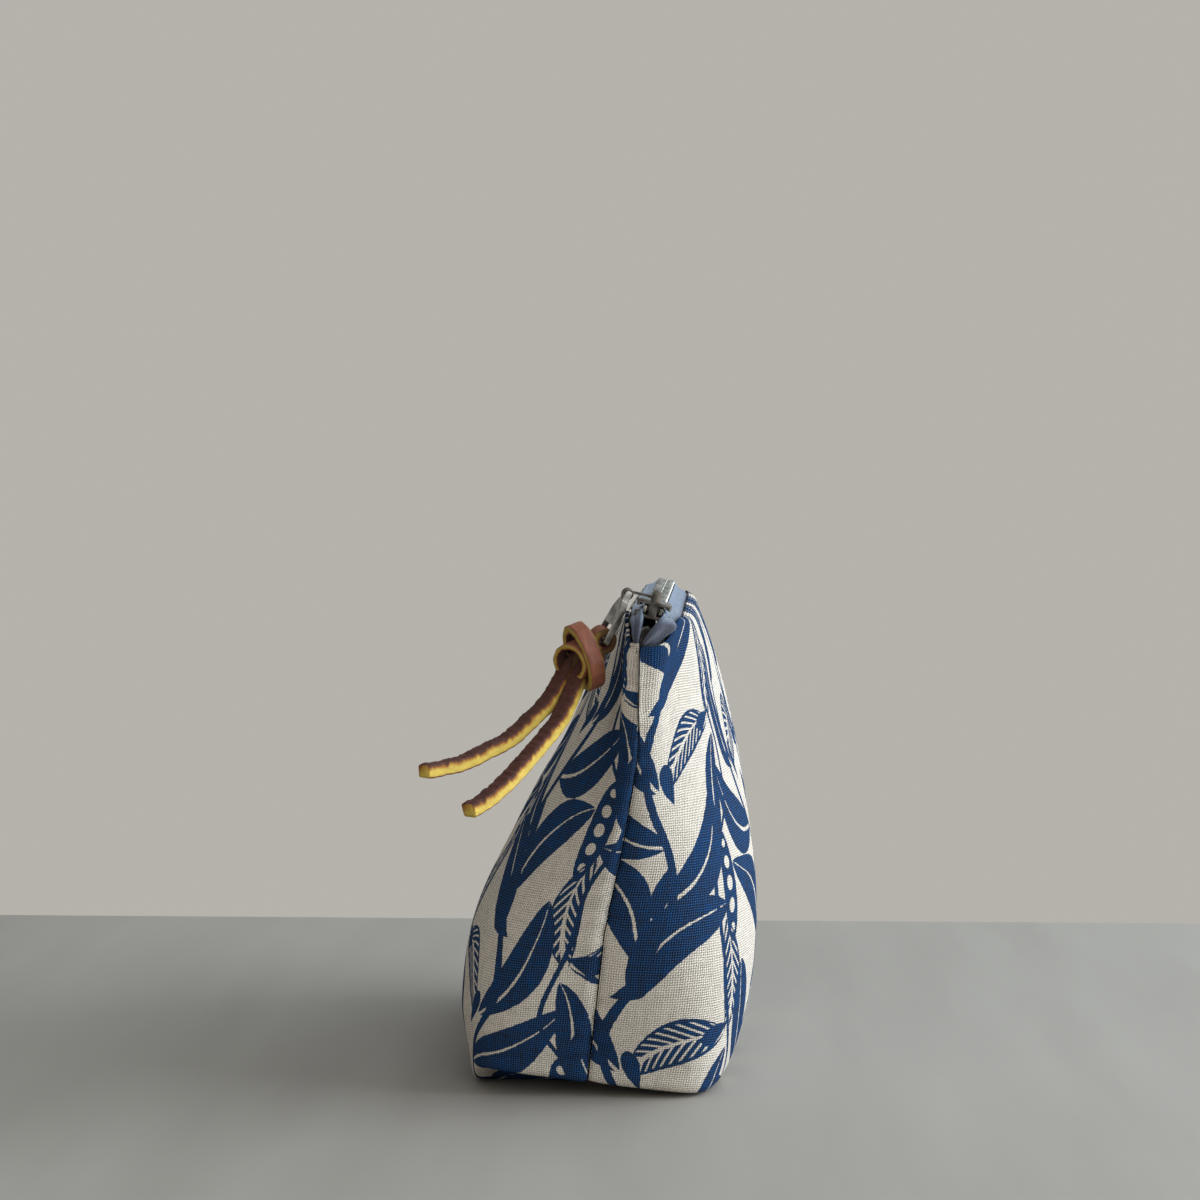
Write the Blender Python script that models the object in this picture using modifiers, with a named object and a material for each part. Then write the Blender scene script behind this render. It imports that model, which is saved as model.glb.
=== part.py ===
"""A small linen pouch with a boxed base, a metal zip along its top and a knotted leather pull.

X runs along the zip, with the closed end at +X. The pull hangs over the -Y side. The base stands
on Z = 0. All sizes are in metres.
"""
import math

import bpy
import numpy as np

# Outer surface of the pouch, from the mouth down to the edge of the base.
# Each row: height, half length, Y of the side seam, shift of the middle, reach to the front,
# reach to the back, power of the ends, power of the sides, drop at the ends, pinch at the ends.
LEVELS = np.array([
    (0.1370, 0.1040, 0.0110, 0.0035, 0.0076, 0.0080, 14.0, 1.50, 0.0090, 0.00),
    (0.1335, 0.1036, 0.0110, 0.0028, 0.0087, 0.0120, 6.0, 1.40, 0.0080, 0.00),
    (0.1180, 0.1020, 0.0108, 0.0008, 0.0151, 0.0194, 3.2, 1.25, 0.0045, 0.00),
    (0.0980, 0.0980, 0.0103, 0.0000, 0.0237, 0.0258, 3.0, 1.45, 0.0015, 0.00),
    (0.0740, 0.0930, 0.0063, 0.0000, 0.0333, 0.0349, 3.2, 2.10, 0.0000, 0.03),
    (0.0480, 0.0870, 0.0008, 0.0000, 0.0395, 0.0432, 4.2, 3.20, 0.0000, 0.08),
    (0.0240, 0.0810, -0.0020, 0.0000, 0.0407, 0.0450, 6.0, 5.50, 0.0000, 0.12),
    (0.0070, 0.0775, -0.0040, 0.0000, 0.0377, 0.0425, 8.0, 9.00, 0.0000, 0.12),
    (0.0008, 0.0760, -0.0045, 0.0000, 0.0350, 0.0385, 10.0, 11.0, 0.0000, 0.10),
    (0.0000, 0.0720, -0.0047, 0.0000, 0.0305, 0.0335, 10.0, 11.0, 0.0000, 0.10),
])
MOUTH_TILT = 0.10
END_DROP_START = 0.84
SEAM_LIFT = 0.0040
FRONT_CORNER_LIFT = 0.0084
LIFT_HEIGHT = 0.030

# Heights of the rows of each cloth, and how its columns are shared out
PANEL_HEIGHTS = (0.137, 0.133, 0.126, 0.116, 0.105, 0.094, 0.082, 0.070, 0.057, 0.044, 0.031,
                 0.019, 0.009, 0.0035, 0.0008, 0.0)
LINING_TOP = 0.124
LINING_HEIGHTS = (LINING_TOP,) + PANEL_HEIGHTS[3:]
TAPE_HEIGHTS = (0.1364, 0.133, 0.130)
END_COLUMNS = 4
FRONT_COLUMNS = 20
END_SHARE = 0.164

# Cloth
LINEN_THICKNESS = 0.0009
LINING_THICKNESS = 0.0005
TAPE_THICKNESS = 0.0005
GAP = 0.0003
CLOTH_GAP = 0.0004
FRONT_HEM_GAP = 0.0010
BACK_HEM_GAP = 0.0015

# Zip
ZIP_Y = 0.0145
ZIP_Z = 0.1383
ZIP_ROLL = math.radians(-13.0)
SLIDER_X = 0.0915
SLIDER_HALF = 0.00675
CHAIN_START = -0.0897
CHAIN_END = SLIDER_X - 0.0008
TOOTH_PITCH = 0.00254
TOOTH_COUNT = int((CHAIN_END - CHAIN_START) / TOOTH_PITCH)
TOOTH_WIDTH = 0.00095
TOOTH_REACH = 0.00055
RAIL_INNER = 0.0019
RAIL_OUTER = 0.0029
CHAIN_HEIGHT = 0.0023
TAPE_INNER = 0.0032
TAPE_FLAT = 0.0062
STOP_LENGTH = 0.0020
STOP_CLEAR = 0.00045
TOP_STOP_X = SLIDER_X + SLIDER_HALF - STOP_CLEAR - STOP_LENGTH / 2
TOP_STOP_INNER = 0.0016
BOTTOM_STOP_X = CHAIN_START - STOP_CLEAR - STOP_LENGTH / 2
BOTTOM_STOP_HALF = 0.0026

# Slider
SLIDER_FRONT = 0.0048
SLIDER_REAR = 0.0041
SLIDER_SIDE = 0.0008
CHANNEL_HALF = 0.00145
SLIDER_SHELL = 0.0009
SLOT_HALF = 0.0007
POST_HALF = 0.0011
POST_TIP = 0.0006
POST_LENGTH = 0.0035
CUT_PAST = 0.002
BAIL_HEIGHT = 0.0042
BAIL_BAR_RADIUS = 0.00042
BAIL_LUG_X = 0.0034
BAIL_LUG_THICK = 0.0010
BAIL_LUG_HALF = 0.0013

# Link and pull
LINK_THICKNESS = 0.0007
LINK_HALF_WIDTH = 0.0024
LINK_DROP = 0.0012
BARREL_RADIUS = 0.00122
BARREL_HOLE = 0.00078
EYE_Y = -0.0079
EYE_Z = 0.0026
EYE_RADIUS = 0.0017
EYE_HOLE = 0.0009
EYE_HALF_WIDTH = 0.0011
TAB_SWING = math.radians(-29.0)
TAB_TWIST = math.radians(10.0)
TAB_THICKNESS = 0.0018
TAB_BAR_RADIUS = 0.00045
TAB_ARM_INNER = 0.0015
TAB_ARM_OUTER = 0.0026
TAB_SHOULDER = 0.0036
TAB_SHOULDER_TOP = -0.0021
TAB_SHOULDER_BOTTOM = -0.0044
TAB_HALF_WIDTH = 0.0033
TAB_END = -0.0150
TAB_CHAMFER = 0.0006
TAB_SLOT_HALF = 0.0026
TAB_SLOT_TOP = -0.0094
TAB_SLOT_BOTTOM = -0.0138

# Leather lace: a small ring through the pull's slot, a wide turn drawn round both strands, and
# two tails. Each tail's route is the middle of the lace, from inside the knot to its cut end.
LACE_WIDTH = 0.0046
LACE_THICKNESS = 0.0034
RING_DROP = 0.0144
RING_INNER = 0.0014
RING_THICKNESS = 0.0022
TURN_CENTRE = (0.0926, -0.0044, 0.1256)
TURN_LONG_WAY = (-0.07, 0.31, -0.95)
TURN_WIDTH_WAY = (-0.52, 0.80, 0.30)
TURN_HALF_LENGTH = 0.0094
TURN_HALF_WIDTH = 0.0074
TURN_THICKNESS = 0.0024
FIRST_TAIL = ((0.0912, -0.0026, 0.1296), (0.0910, -0.0052, 0.1268), (0.0912, -0.0083, 0.1232),
              (0.0945, -0.0112, 0.1176), (0.0979, -0.0141, 0.1130), (0.1022, -0.0185, 0.1088),
              (0.1075, -0.0238, 0.1041), (0.1126, -0.0296, 0.1013), (0.1178, -0.0354, 0.0988),
              (0.1227, -0.0410, 0.0978), (0.1260, -0.0447, 0.0974))
SECOND_TAIL = ((0.0916, 0.0004, 0.1268), (0.0922, -0.0026, 0.1245), (0.0935, -0.0056, 0.1208),
               (0.0967, -0.0075, 0.1157), (0.1018, -0.0105, 0.1091), (0.1068, -0.0145, 0.1040),
               (0.1116, -0.0183, 0.0996), (0.1180, -0.0232, 0.0943), (0.1246, -0.0287, 0.0897),
               (0.1290, -0.0327, 0.0876))


def new_material(name, colour, metallic, roughness):
    """A plain material with one Principled surface."""
    material = bpy.data.materials.new(name)
    material.use_nodes = True
    surface = material.node_tree.nodes["Principled BSDF"]
    surface.inputs["Base Color"].default_value = (*colour, 1.0)
    surface.inputs["Metallic"].default_value = metallic
    surface.inputs["Roughness"].default_value = roughness
    return material


def new_object(name, points, faces, material, place=(0.0, 0.0, 0.0), turn=(0.0, 0.0, 0.0)):
    """A mesh object in the pouch's collection, with its faces turned outwards."""
    mesh = bpy.data.meshes.new(name)
    mesh.from_pydata([tuple(map(float, p)) for p in points], [], faces)
    obj = bpy.data.objects.new(name, mesh)
    obj.location = place
    obj.rotation_euler = turn
    pouch.objects.link(obj)
    if material is not None:
        mesh.materials.append(material)
    bpy.context.view_layer.objects.active = obj
    obj.select_set(True)
    bpy.ops.object.mode_set(mode="EDIT")
    bpy.ops.mesh.select_all(action="SELECT")
    bpy.ops.mesh.normals_make_consistent(inside=False)
    bpy.ops.object.mode_set(mode="OBJECT")
    obj.select_set(False)
    return obj


def apply_all(obj):
    """Turn the object's modifiers into mesh."""
    bpy.context.view_layer.objects.active = obj
    for modifier in list(obj.modifiers):
        bpy.ops.object.modifier_apply(modifier=modifier.name)


def to_cutters(obj):
    """Keep a cutting or joining body out of the part itself."""
    pouch.objects.unlink(obj)
    cutters.objects.link(obj)
    obj.hide_render = True
    obj.display_type = "WIRE"


def combine(obj, other, operation):
    """Cut the other body from the object, or join it on."""
    modifier = obj.modifiers.new(operation.title(), "BOOLEAN")
    modifier.operation = operation
    modifier.solver = "EXACT"
    modifier.object = other
    to_cutters(other)


def extruded(name, outline, low, high, axis, material, place=(0.0, 0.0, 0.0), turn=(0.0, 0.0, 0.0)):
    """A flat outline pulled from low to high along an axis: X takes (Y, Z) outlines, Z takes (X, Y)."""
    count = len(outline)
    points = []
    for level in (low, high):
        for a, b in outline:
            points.append((level, a, b) if axis == "X" else (a, b, level))
    faces = [tuple(range(count)), tuple(range(2 * count - 1, count - 1, -1))]
    for i in range(count):
        j = (i + 1) % count
        faces.append((i, i + count, j + count, j))
    return new_object(name, points, faces, material, place, turn)


def circle(radius, centre=(0.0, 0.0), count=20):
    """Points round a circle."""
    turns = [2 * math.pi * i / count for i in range(count)]
    return [(centre[0] + radius * math.cos(t), centre[1] + radius * math.sin(t)) for t in turns]


def box(half_a, low_b, high_b):
    """A rectangle centred on the first coordinate."""
    return [(-half_a, low_b), (half_a, low_b), (half_a, high_b), (-half_a, high_b)]


# Shape of the pouch

def level_at(height):
    """The row of sizes at a height, on a smooth curve through the rows of LEVELS."""
    k = np.linspace(0, len(LEVELS) - 1, 1801)
    i = np.minimum(k.astype(int), len(LEVELS) - 2)
    t = (k - i)[:, None]
    before, start, end, after = (LEVELS[np.clip(i + j, 0, len(LEVELS) - 1)] for j in (-1, 0, 1, 2))
    curve = 0.5 * (2 * start + (end - before) * t
                   + (2 * before - 5 * start + 4 * end - after) * t ** 2
                   + (3 * start - before - 3 * end + after) * t ** 3)
    curve = curve[::-1]
    return np.array([height] + [np.interp(height, curve[:, 0], curve[:, c]) for c in range(1, 10)])


def column_shares():
    """Where the columns stand along a row: even over each end, and even over the front."""
    ends = np.linspace(0, END_SHARE, END_COLUMNS + 1)
    front = np.linspace(END_SHARE, 1 - END_SHARE, FRONT_COLUMNS + 1)
    return np.concatenate([ends, front[1:], 1 - ends[-2::-1]])


def half_row(height, side):
    """Half of the pouch's outline at a height, from the seam at +X to the seam at -X."""
    z, half, seam, shift, front, back, end_power, side_power, drop, pinch = level_at(height)
    reach = front if side < 0 else back
    turn = np.linspace(0, np.pi, 1441)
    across = np.cos(turn)
    x = half * np.sign(across) * np.abs(across) ** (2 / end_power)
    y = reach * (1 - pinch * (x / half) ** 2) * np.sin(turn) ** (2 / side_power)
    along = np.concatenate([[0], np.cumsum(np.hypot(np.diff(x), np.diff(y)))])
    wanted = column_shares() * along[-1]
    x = np.interp(wanted, along, x)
    y = np.interp(wanted, along, y)
    return np.stack([x, seam + shift * (1 - np.abs(x / half) ** 16) + side * y, np.full(len(x), z)], 1)


def smooth(value):
    """A soft step from 0 to 1."""
    value = np.clip(value, 0, 1)
    return value ** 2 * (3 - 2 * value)


def settle(points, height, side):
    """Drop the mouth towards its ends, tilt it, and lift the ends of the base."""
    row = level_at(height)
    x, y, z = points.T
    near_end = smooth((np.abs(x) / row[1] - END_DROP_START) / (1 - END_DROP_START))
    tilt = MOUTH_TILT * np.clip((height - 0.105) / 0.032, 0, 1) ** 2 * (1 - near_end)
    away = np.clip(side * (y - row[2]) / row[4 if side < 0 else 5], 0, 1)
    corner = FRONT_CORNER_LIFT if side < 0 else 0.0
    lift = (SEAM_LIFT + (corner - SEAM_LIFT) * away) * smooth(1 - z / LIFT_HEIGHT)
    lift = lift * smooth((np.abs(x) / row[1] - 0.72) / 0.28)
    z = z - row[8] * near_end - tilt * (y - row[2] - row[3]) + lift
    return np.stack([x, y, z], 1)


def seam_y(z):
    """Y of the side seams at a height."""
    return np.interp(z, LEVELS[::-1, 0], LEVELS[::-1, 2])


def cloth(name, heights, side, depth, thickness, material):
    """One half of the pouch as a sheet: a wall from seam to seam, turned in under the base.

    The sheet lies at a depth inside the outer surface. The base half is a grid between the two
    ends of the lowest row. Both side edges and the base edge lie flat against the seam.
    """
    rows = [half_row(h, side) for h in heights]
    lowest = rows[-1]
    count = len(lowest)
    seam = level_at(0.0)[2]
    points = [settle(r, h, side) for r, h in zip(rows, heights)]
    faces = []
    for i in range(len(rows) - 1):
        for k in range(count - 1):
            a = i * count + k
            faces.append((a, a + 1, a + 1 + count, a + count))
    # rows of the base, from beside the front edge to the seam
    edge = lowest[END_COLUMNS:count - END_COLUMNS]
    share = (edge[:, 0] - edge[-1, 0]) / (edge[0, 0] - edge[-1, 0])
    last = (len(rows) - 1) * count
    above = list(range(last + END_COLUMNS, last + count - END_COLUMNS))
    total = len(rows) * count
    for j in range(END_COLUMNS - 1, -1, -1):
        left, right = lowest[j], lowest[count - 1 - j]
        part = (left[1] - seam) / (edge[0, 1] - seam)
        x = right[0] + (left[0] - right[0]) * share[1:-1]
        y = seam + (edge[1:-1, 1] - seam) * part
        points.append(settle(np.stack([x, y, np.zeros(len(x))], 1), 0.0, side))
        below = [last + j] + list(range(total, total + len(x))) + [last + count - 1 - j]
        total += len(x)
        for c in range(len(above) - 1):
            faces.append((above[c], above[c + 1], below[c + 1], below[c]))
        above = below
    obj = new_object(name, np.concatenate(points), faces, material)
    # the open sheet's faces all look outwards
    middle = obj.data.polygons[3 * (count - 1) + count // 2]
    if middle.normal.y * side < 0:
        obj.data.flip_normals()
    if depth > 0:
        inset = obj.modifiers.new("Depth", "DISPLACE")
        inset.strength = -depth
        inset.mid_level = 0.0
    shell = obj.modifiers.new("Thickness", "SOLIDIFY")
    shell.thickness = thickness
    shell.offset = -1.0
    shell.use_rim = True
    apply_all(obj)
    for vertex in obj.data.vertices:
        limit = seam_y(vertex.co.z) + side * GAP / 2
        if side * vertex.co.y < side * limit:
            vertex.co.y = limit
    return obj


def rolled(y, z):
    """A place in the zip's own tilted plane, as Y and Z of the pouch."""
    return (ZIP_Y + y * math.cos(ZIP_ROLL) - z * math.sin(ZIP_ROLL),
            ZIP_Z + y * math.sin(ZIP_ROLL) + z * math.cos(ZIP_ROLL))


def tape(name, side, material):
    """A woven strip: flat beside the teeth, then down inside the linen's edge."""
    inner = LINEN_THICKNESS + (FRONT_HEM_GAP if side < 0 else BACK_HEM_GAP) + TAPE_THICKNESS / 2
    columns = []
    for height in TAPE_HEIGHTS:
        upper = settle(half_row(height + 0.0004, side), height + 0.0004, side)
        lower = settle(half_row(height - 0.0004, side), height - 0.0004, side)
        row = (upper + lower) / 2
        outward = np.cross(np.gradient(row, axis=0), lower - upper) * side
        outward /= np.linalg.norm(outward, axis=1)[:, None]
        outward *= np.sign(outward[len(row) // 2, 1] * side)
        columns.append((row - outward * inner)[1:-1])
    top = columns[0]
    flat = []
    for reach in (TAPE_INNER, (TAPE_INNER + TAPE_FLAT) / 2, TAPE_FLAT):
        y, z = rolled(side * reach, 0.0)
        flat.append(np.stack([top[:, 0], np.full(len(top), y), np.full(len(top), z)], 1))
    grid = flat + columns
    count = len(top)
    faces = []
    for i in range(len(grid) - 1):
        for k in range(count - 1):
            a = i * count + k
            faces.append((a, a + 1, a + 1 + count, a + count))
    obj = new_object(name, np.concatenate(grid), faces, material)
    shell = obj.modifiers.new("Thickness", "SOLIDIFY")
    shell.thickness = TAPE_THICKNESS
    shell.offset = 0.0
    return obj


# Zip

def teeth(name, side, material):
    """One row of teeth on its rail, reaching past the middle between those of the other row."""
    start = CHAIN_START + (TOOTH_PITCH / 2 if side > 0 else 0.0)
    length = TOOTH_PITCH * TOOTH_COUNT
    outline = [(CHAIN_START, side * RAIL_OUTER), (CHAIN_START, side * RAIL_INNER)]
    for i in range(TOOTH_COUNT):
        low = start + i * TOOTH_PITCH + (TOOTH_PITCH / 2 - TOOTH_WIDTH) / 2
        outline.append((low, side * RAIL_INNER))
        outline.append((low, -side * TOOTH_REACH))
        outline.append((low + TOOTH_WIDTH, -side * TOOTH_REACH))
        outline.append((low + TOOTH_WIDTH, side * RAIL_INNER))
    outline.append((CHAIN_START + length + TOOTH_PITCH / 4, side * RAIL_INNER))
    outline.append((CHAIN_START + length + TOOTH_PITCH / 4, side * RAIL_OUTER))
    half = CHAIN_HEIGHT / 2
    return extruded(name, outline, -half, half, "Z", material,
                    (0.0, ZIP_Y, ZIP_Z), (ZIP_ROLL, 0.0, 0.0))


def stop(name, x, low, high, material):
    """A small block pressed on beside or across the teeth; the top ones stand in the slider's mouths."""
    half = STOP_LENGTH / 2
    outline = [(x - half, low), (x + half, low), (x + half, high), (x - half, high)]
    obj = extruded(name, outline, -CHAIN_HEIGHT / 2, CHAIN_HEIGHT / 2, "Z", material,
                   (0.0, ZIP_Y, ZIP_Z), (ZIP_ROLL, 0.0, 0.0))
    bevel = obj.modifiers.new("Edges", "BEVEL")
    bevel.width = 0.0003
    bevel.segments = 1
    return obj


def slider_channel(name, outer_y, half_height):
    """The space of the chain or the tapes through the slider, with the post left standing."""
    far = SLIDER_HALF + CUT_PAST
    knee = POST_LENGTH
    side_y = outer_y if outer_y is not None else SLIDER_FRONT - SLIDER_SIDE
    rear_y = outer_y if outer_y is not None else SLIDER_REAR - SLIDER_SIDE
    upper = [(far, POST_HALF), (far, side_y), (knee, side_y), (0.0, rear_y), (-far, rear_y)]
    lower = [(x, -y) for x, y in reversed(upper)]
    outline = upper + lower + [(knee, -POST_HALF), (POST_TIP, 0.0), (knee, POST_HALF)]
    return extruded(name, outline, -half_height, half_height, "Z", None)


def slider(material):
    """Two plates joined by a post, with side edges turned in and two lugs that hold a bar on top."""
    place = (SLIDER_X, ZIP_Y, ZIP_Z)
    turn = (ZIP_ROLL, 0.0, 0.0)
    half_height = CHANNEL_HALF + SLIDER_SHELL
    upper = [(SLIDER_HALF, 0.0010), (SLIDER_HALF, 0.0044), (0.0056, SLIDER_FRONT),
             (0.0038, SLIDER_FRONT), (0.0, 0.0042), (-0.0056, SLIDER_REAR), (-SLIDER_HALF, 0.0033)]
    outline = upper + [(x, -y) for x, y in reversed(upper)]
    body = extruded("slider", outline, -half_height, half_height, "Z", material, place, turn)
    parts = [(slider_channel("chain_space", None, CHANNEL_HALF), "DIFFERENCE"),
             (slider_channel("tape_space", SLIDER_FRONT + CUT_PAST, SLOT_HALF), "DIFFERENCE")]
    for x in (-BAIL_LUG_X, BAIL_LUG_X):
        lug = circle(BAIL_LUG_HALF, (0.0, BAIL_HEIGHT), 16)
        lug = [p for p in lug if p[1] >= BAIL_HEIGHT - 1e-6]
        lug += [(-BAIL_LUG_HALF, half_height - 0.0003), (BAIL_LUG_HALF, half_height - 0.0003)]
        near, far = x - BAIL_LUG_THICK / 2, x + BAIL_LUG_THICK / 2
        parts.append((extruded("bail_lug", lug, near, far, "X", None), "UNION"))
    bar = circle(BAIL_BAR_RADIUS, (0.0, BAIL_HEIGHT), 12)
    parts.append((extruded("bail_bar", bar, -BAIL_LUG_X, BAIL_LUG_X, "X", None), "UNION"))
    for other, operation in parts:
        other.location = place
        other.rotation_euler = turn
        combine(body, other, operation)
    return body


def link(material):
    """A short plate with a barrel round the bail's bar and an eye at its free end."""
    place = (SLIDER_X, *rolled(0.0, BAIL_HEIGHT))
    turn = (ZIP_ROLL, 0.0, 0.0)
    eye = (EYE_Y, EYE_Z - BAIL_HEIGHT)
    low = -LINK_DROP
    plate = [(0.0, low), (0.0, low + LINK_THICKNESS), (EYE_Y + EYE_RADIUS - 0.0004, low + LINK_THICKNESS),
             (EYE_Y + EYE_RADIUS - 0.0004, low)]
    body = extruded("pull_link", circle(BARREL_RADIUS), -LINK_HALF_WIDTH, LINK_HALF_WIDTH, "X",
                    material, place, turn)
    parts = [
        (extruded("link_plate", plate, -EYE_HALF_WIDTH, EYE_HALF_WIDTH, "X", None), "UNION"),
        (extruded("link_eye", circle(EYE_RADIUS, eye), -EYE_HALF_WIDTH, EYE_HALF_WIDTH, "X", None),
         "UNION"),
        (extruded("barrel_hole", circle(BARREL_HOLE, count=14), -0.004, 0.004, "X", None), "DIFFERENCE"),
        (extruded("eye_hole", circle(EYE_HOLE, eye, 14), -0.004, 0.004, "X", None), "DIFFERENCE"),
    ]
    for other, operation in parts:
        other.location = place
        other.rotation_euler = turn
        combine(body, other, operation)
    return body


def eye_place():
    """Centre of the link's eye, which is the axis that the pull swings about."""
    return (SLIDER_X, *rolled(EYE_Y, EYE_Z))


def pull_tab(material):
    """A small plate with two arms and a bar through the link's eye, and a slot for the lace."""
    place = eye_place()
    turn = (TAB_SWING, 0.0, TAB_TWIST)
    half = TAB_THICKNESS / 2
    outline = [(-TAB_SHOULDER, TAB_SHOULDER_TOP), (-TAB_SHOULDER, TAB_SHOULDER_BOTTOM),
               (-TAB_HALF_WIDTH, TAB_SHOULDER_BOTTOM - TAB_CHAMFER),
               (-TAB_HALF_WIDTH, TAB_END + TAB_CHAMFER), (-TAB_HALF_WIDTH + TAB_CHAMFER, TAB_END)]
    outline += [(-x, z) for x, z in reversed(outline)]
    body = flat_plate("pull_tab", outline, half, material)
    parts = [(flat_plate("lace_slot", box(TAB_SLOT_HALF, TAB_SLOT_BOTTOM, TAB_SLOT_TOP), 0.002, None),
              "DIFFERENCE")]
    for side in (-1, 1):
        edges = sorted((side * TAB_ARM_INNER, side * TAB_ARM_OUTER))
        arm = [(-half, TAB_SHOULDER_TOP - TAB_CHAMFER), (half, TAB_SHOULDER_TOP - TAB_CHAMFER),
               (half, 0.0004), (0.0005, half), (-0.0005, half), (-half, 0.0004)]
        parts.append((extruded("pull_arm", arm, *edges, "X", None), "UNION"))
    bar = circle(TAB_BAR_RADIUS, count=12)
    reach = (TAB_ARM_INNER + TAB_ARM_OUTER) / 2
    parts.append((extruded("pull_bar", bar, -reach, reach, "X", None), "UNION"))
    for other, operation in [(body, None)] + parts:
        other.rotation_mode = "ZYX"
        other.location = place
        other.rotation_euler = turn
        if operation:
            combine(body, other, operation)
    return body


def flat_plate(name, outline, half_thickness, material):
    """An outline in X and Z with its thickness along Y."""
    count = len(outline)
    points = [(x, y, z) for y in (-half_thickness, half_thickness) for x, z in outline]
    faces = [tuple(range(count)), tuple(range(2 * count - 1, count - 1, -1))]
    for i in range(count):
        j = (i + 1) % count
        faces.append((i, i + count, j + count, j))
    return new_object(name, points, faces, material)


# Lace

def strap(name, path, widthway, thickness, closed):
    """The lace's oblong section along a path, with its width along one way, or level if None."""
    path = np.array(path) - eye_place()
    if closed:
        tangent = np.roll(path, -1, axis=0) - np.roll(path, 1, axis=0)
    else:
        tangent = np.gradient(path, axis=0)
    tangent /= np.linalg.norm(tangent, axis=1)[:, None]
    if widthway is None:
        across = np.cross(tangent, (0.0, 0.0, 1.0))
    else:
        across = np.tile(widthway, (len(path), 1))
    across /= np.linalg.norm(across, axis=1)[:, None]
    across = across * LACE_WIDTH / 2
    normal = np.cross(across, tangent)
    normal *= thickness / 2 / np.linalg.norm(normal, axis=1)[:, None]
    corners = (-across - normal, across - normal, across + normal, -across + normal)
    points = np.stack([path + corner for corner in corners], 1).reshape(-1, 3)
    faces = []
    count = len(path)
    for i in range(count if closed else count - 1):
        j = (i + 1) % count
        for k in range(4):
            m = (k + 1) % 4
            faces.append((4 * i + k, 4 * i + m, 4 * j + m, 4 * j + k))
    if not closed:
        faces.append((0, 1, 2, 3))
        faces.append(tuple(range(4 * count - 1, 4 * count - 5, -1)))
    return new_object(name, points, faces, None)


def oval(centre, first_way, first, second_way, second, count):
    """Points round an oval in space, from its two half widths and their ways."""
    turns = np.linspace(0, 2 * np.pi, count, endpoint=False)[:, None]
    ways = [np.array(way) / np.linalg.norm(way) for way in (first_way, second_way)]
    return np.array(centre) + first * np.cos(turns) * ways[0] + second * np.sin(turns) * ways[1]


def lace(material):
    """One leather lace: a ring through the pull's slot, a knot, and two stiff tails."""
    eye = np.array(eye_place())
    down = np.array((0.0, math.sin(TAB_SWING), -math.cos(TAB_SWING)))
    along_bar = (math.cos(TAB_TWIST), math.sin(TAB_TWIST) * math.cos(TAB_SWING),
                 math.sin(TAB_TWIST) * math.sin(TAB_SWING))
    radius = RING_INNER + RING_THICKNESS / 2
    ring = oval(eye + RING_DROP * down, down, radius, np.cross(along_bar, down), radius, 20)
    body = strap("leather_lace", ring, along_bar, RING_THICKNESS, True)
    body.data.materials.append(material)
    turn = oval(TURN_CENTRE, TURN_LONG_WAY, TURN_HALF_LENGTH - TURN_THICKNESS / 2,
                np.cross(TURN_WIDTH_WAY, TURN_LONG_WAY), TURN_HALF_WIDTH - TURN_THICKNESS / 2, 28)
    parts = [strap("lace_turn", turn, TURN_WIDTH_WAY, TURN_THICKNESS, True),
             strap("first_tail", FIRST_TAIL, None, LACE_THICKNESS, False),
             strap("second_tail", SECOND_TAIL, None, LACE_THICKNESS, False)]
    for obj in [body] + parts:
        obj.location = eye
        if obj is not body:
            combine(body, obj, "UNION")
    return body


for old in list(bpy.data.objects):
    bpy.data.objects.remove(old)
pouch = bpy.data.collections.new("linen_pouch")
cutters = bpy.data.collections.new("cutters")
bpy.context.scene.collection.children.link(pouch)
bpy.context.scene.collection.children.link(cutters)

linen = new_material("linen", (0.61, 0.56, 0.48), 0.0, 0.9)
lining_cloth = new_material("lining", (0.72, 0.68, 0.60), 0.0, 0.9)
tape_cloth = new_material("tape", (0.22, 0.30, 0.42), 0.0, 0.85)
tooth_metal = new_material("tooth_metal", (0.33, 0.33, 0.32), 1.0, 0.4)
dark_metal = new_material("dark_metal", (0.10, 0.10, 0.10), 1.0, 0.45)
leather = new_material("leather", (0.30, 0.10, 0.07), 0.0, 0.6)

cloth("front_panel", PANEL_HEIGHTS, -1, 0.0, LINEN_THICKNESS, linen)
cloth("back_panel", PANEL_HEIGHTS, 1, 0.0, LINEN_THICKNESS, linen)
lining_depth = LINEN_THICKNESS + CLOTH_GAP
cloth("front_lining", LINING_HEIGHTS, -1, lining_depth, LINING_THICKNESS, lining_cloth)
cloth("back_lining", LINING_HEIGHTS, 1, lining_depth, LINING_THICKNESS, lining_cloth)
tape("front_tape", -1, tape_cloth)
tape("back_tape", 1, tape_cloth)
teeth("front_teeth", -1, tooth_metal)
teeth("back_teeth", 1, tooth_metal)
stop("front_top_stop", TOP_STOP_X, -RAIL_OUTER, -TOP_STOP_INNER, tooth_metal)
stop("back_top_stop", TOP_STOP_X, TOP_STOP_INNER, RAIL_OUTER, tooth_metal)
stop("bottom_stop", BOTTOM_STOP_X, -BOTTOM_STOP_HALF, BOTTOM_STOP_HALF, tooth_metal)
slider(dark_metal)
link(dark_metal)
pull_tab(dark_metal)
lace(leather)
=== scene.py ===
"""A printed linen pouch with a metal zip and a knotted leather pull, dressed on its CAD frame."""
import math

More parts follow.
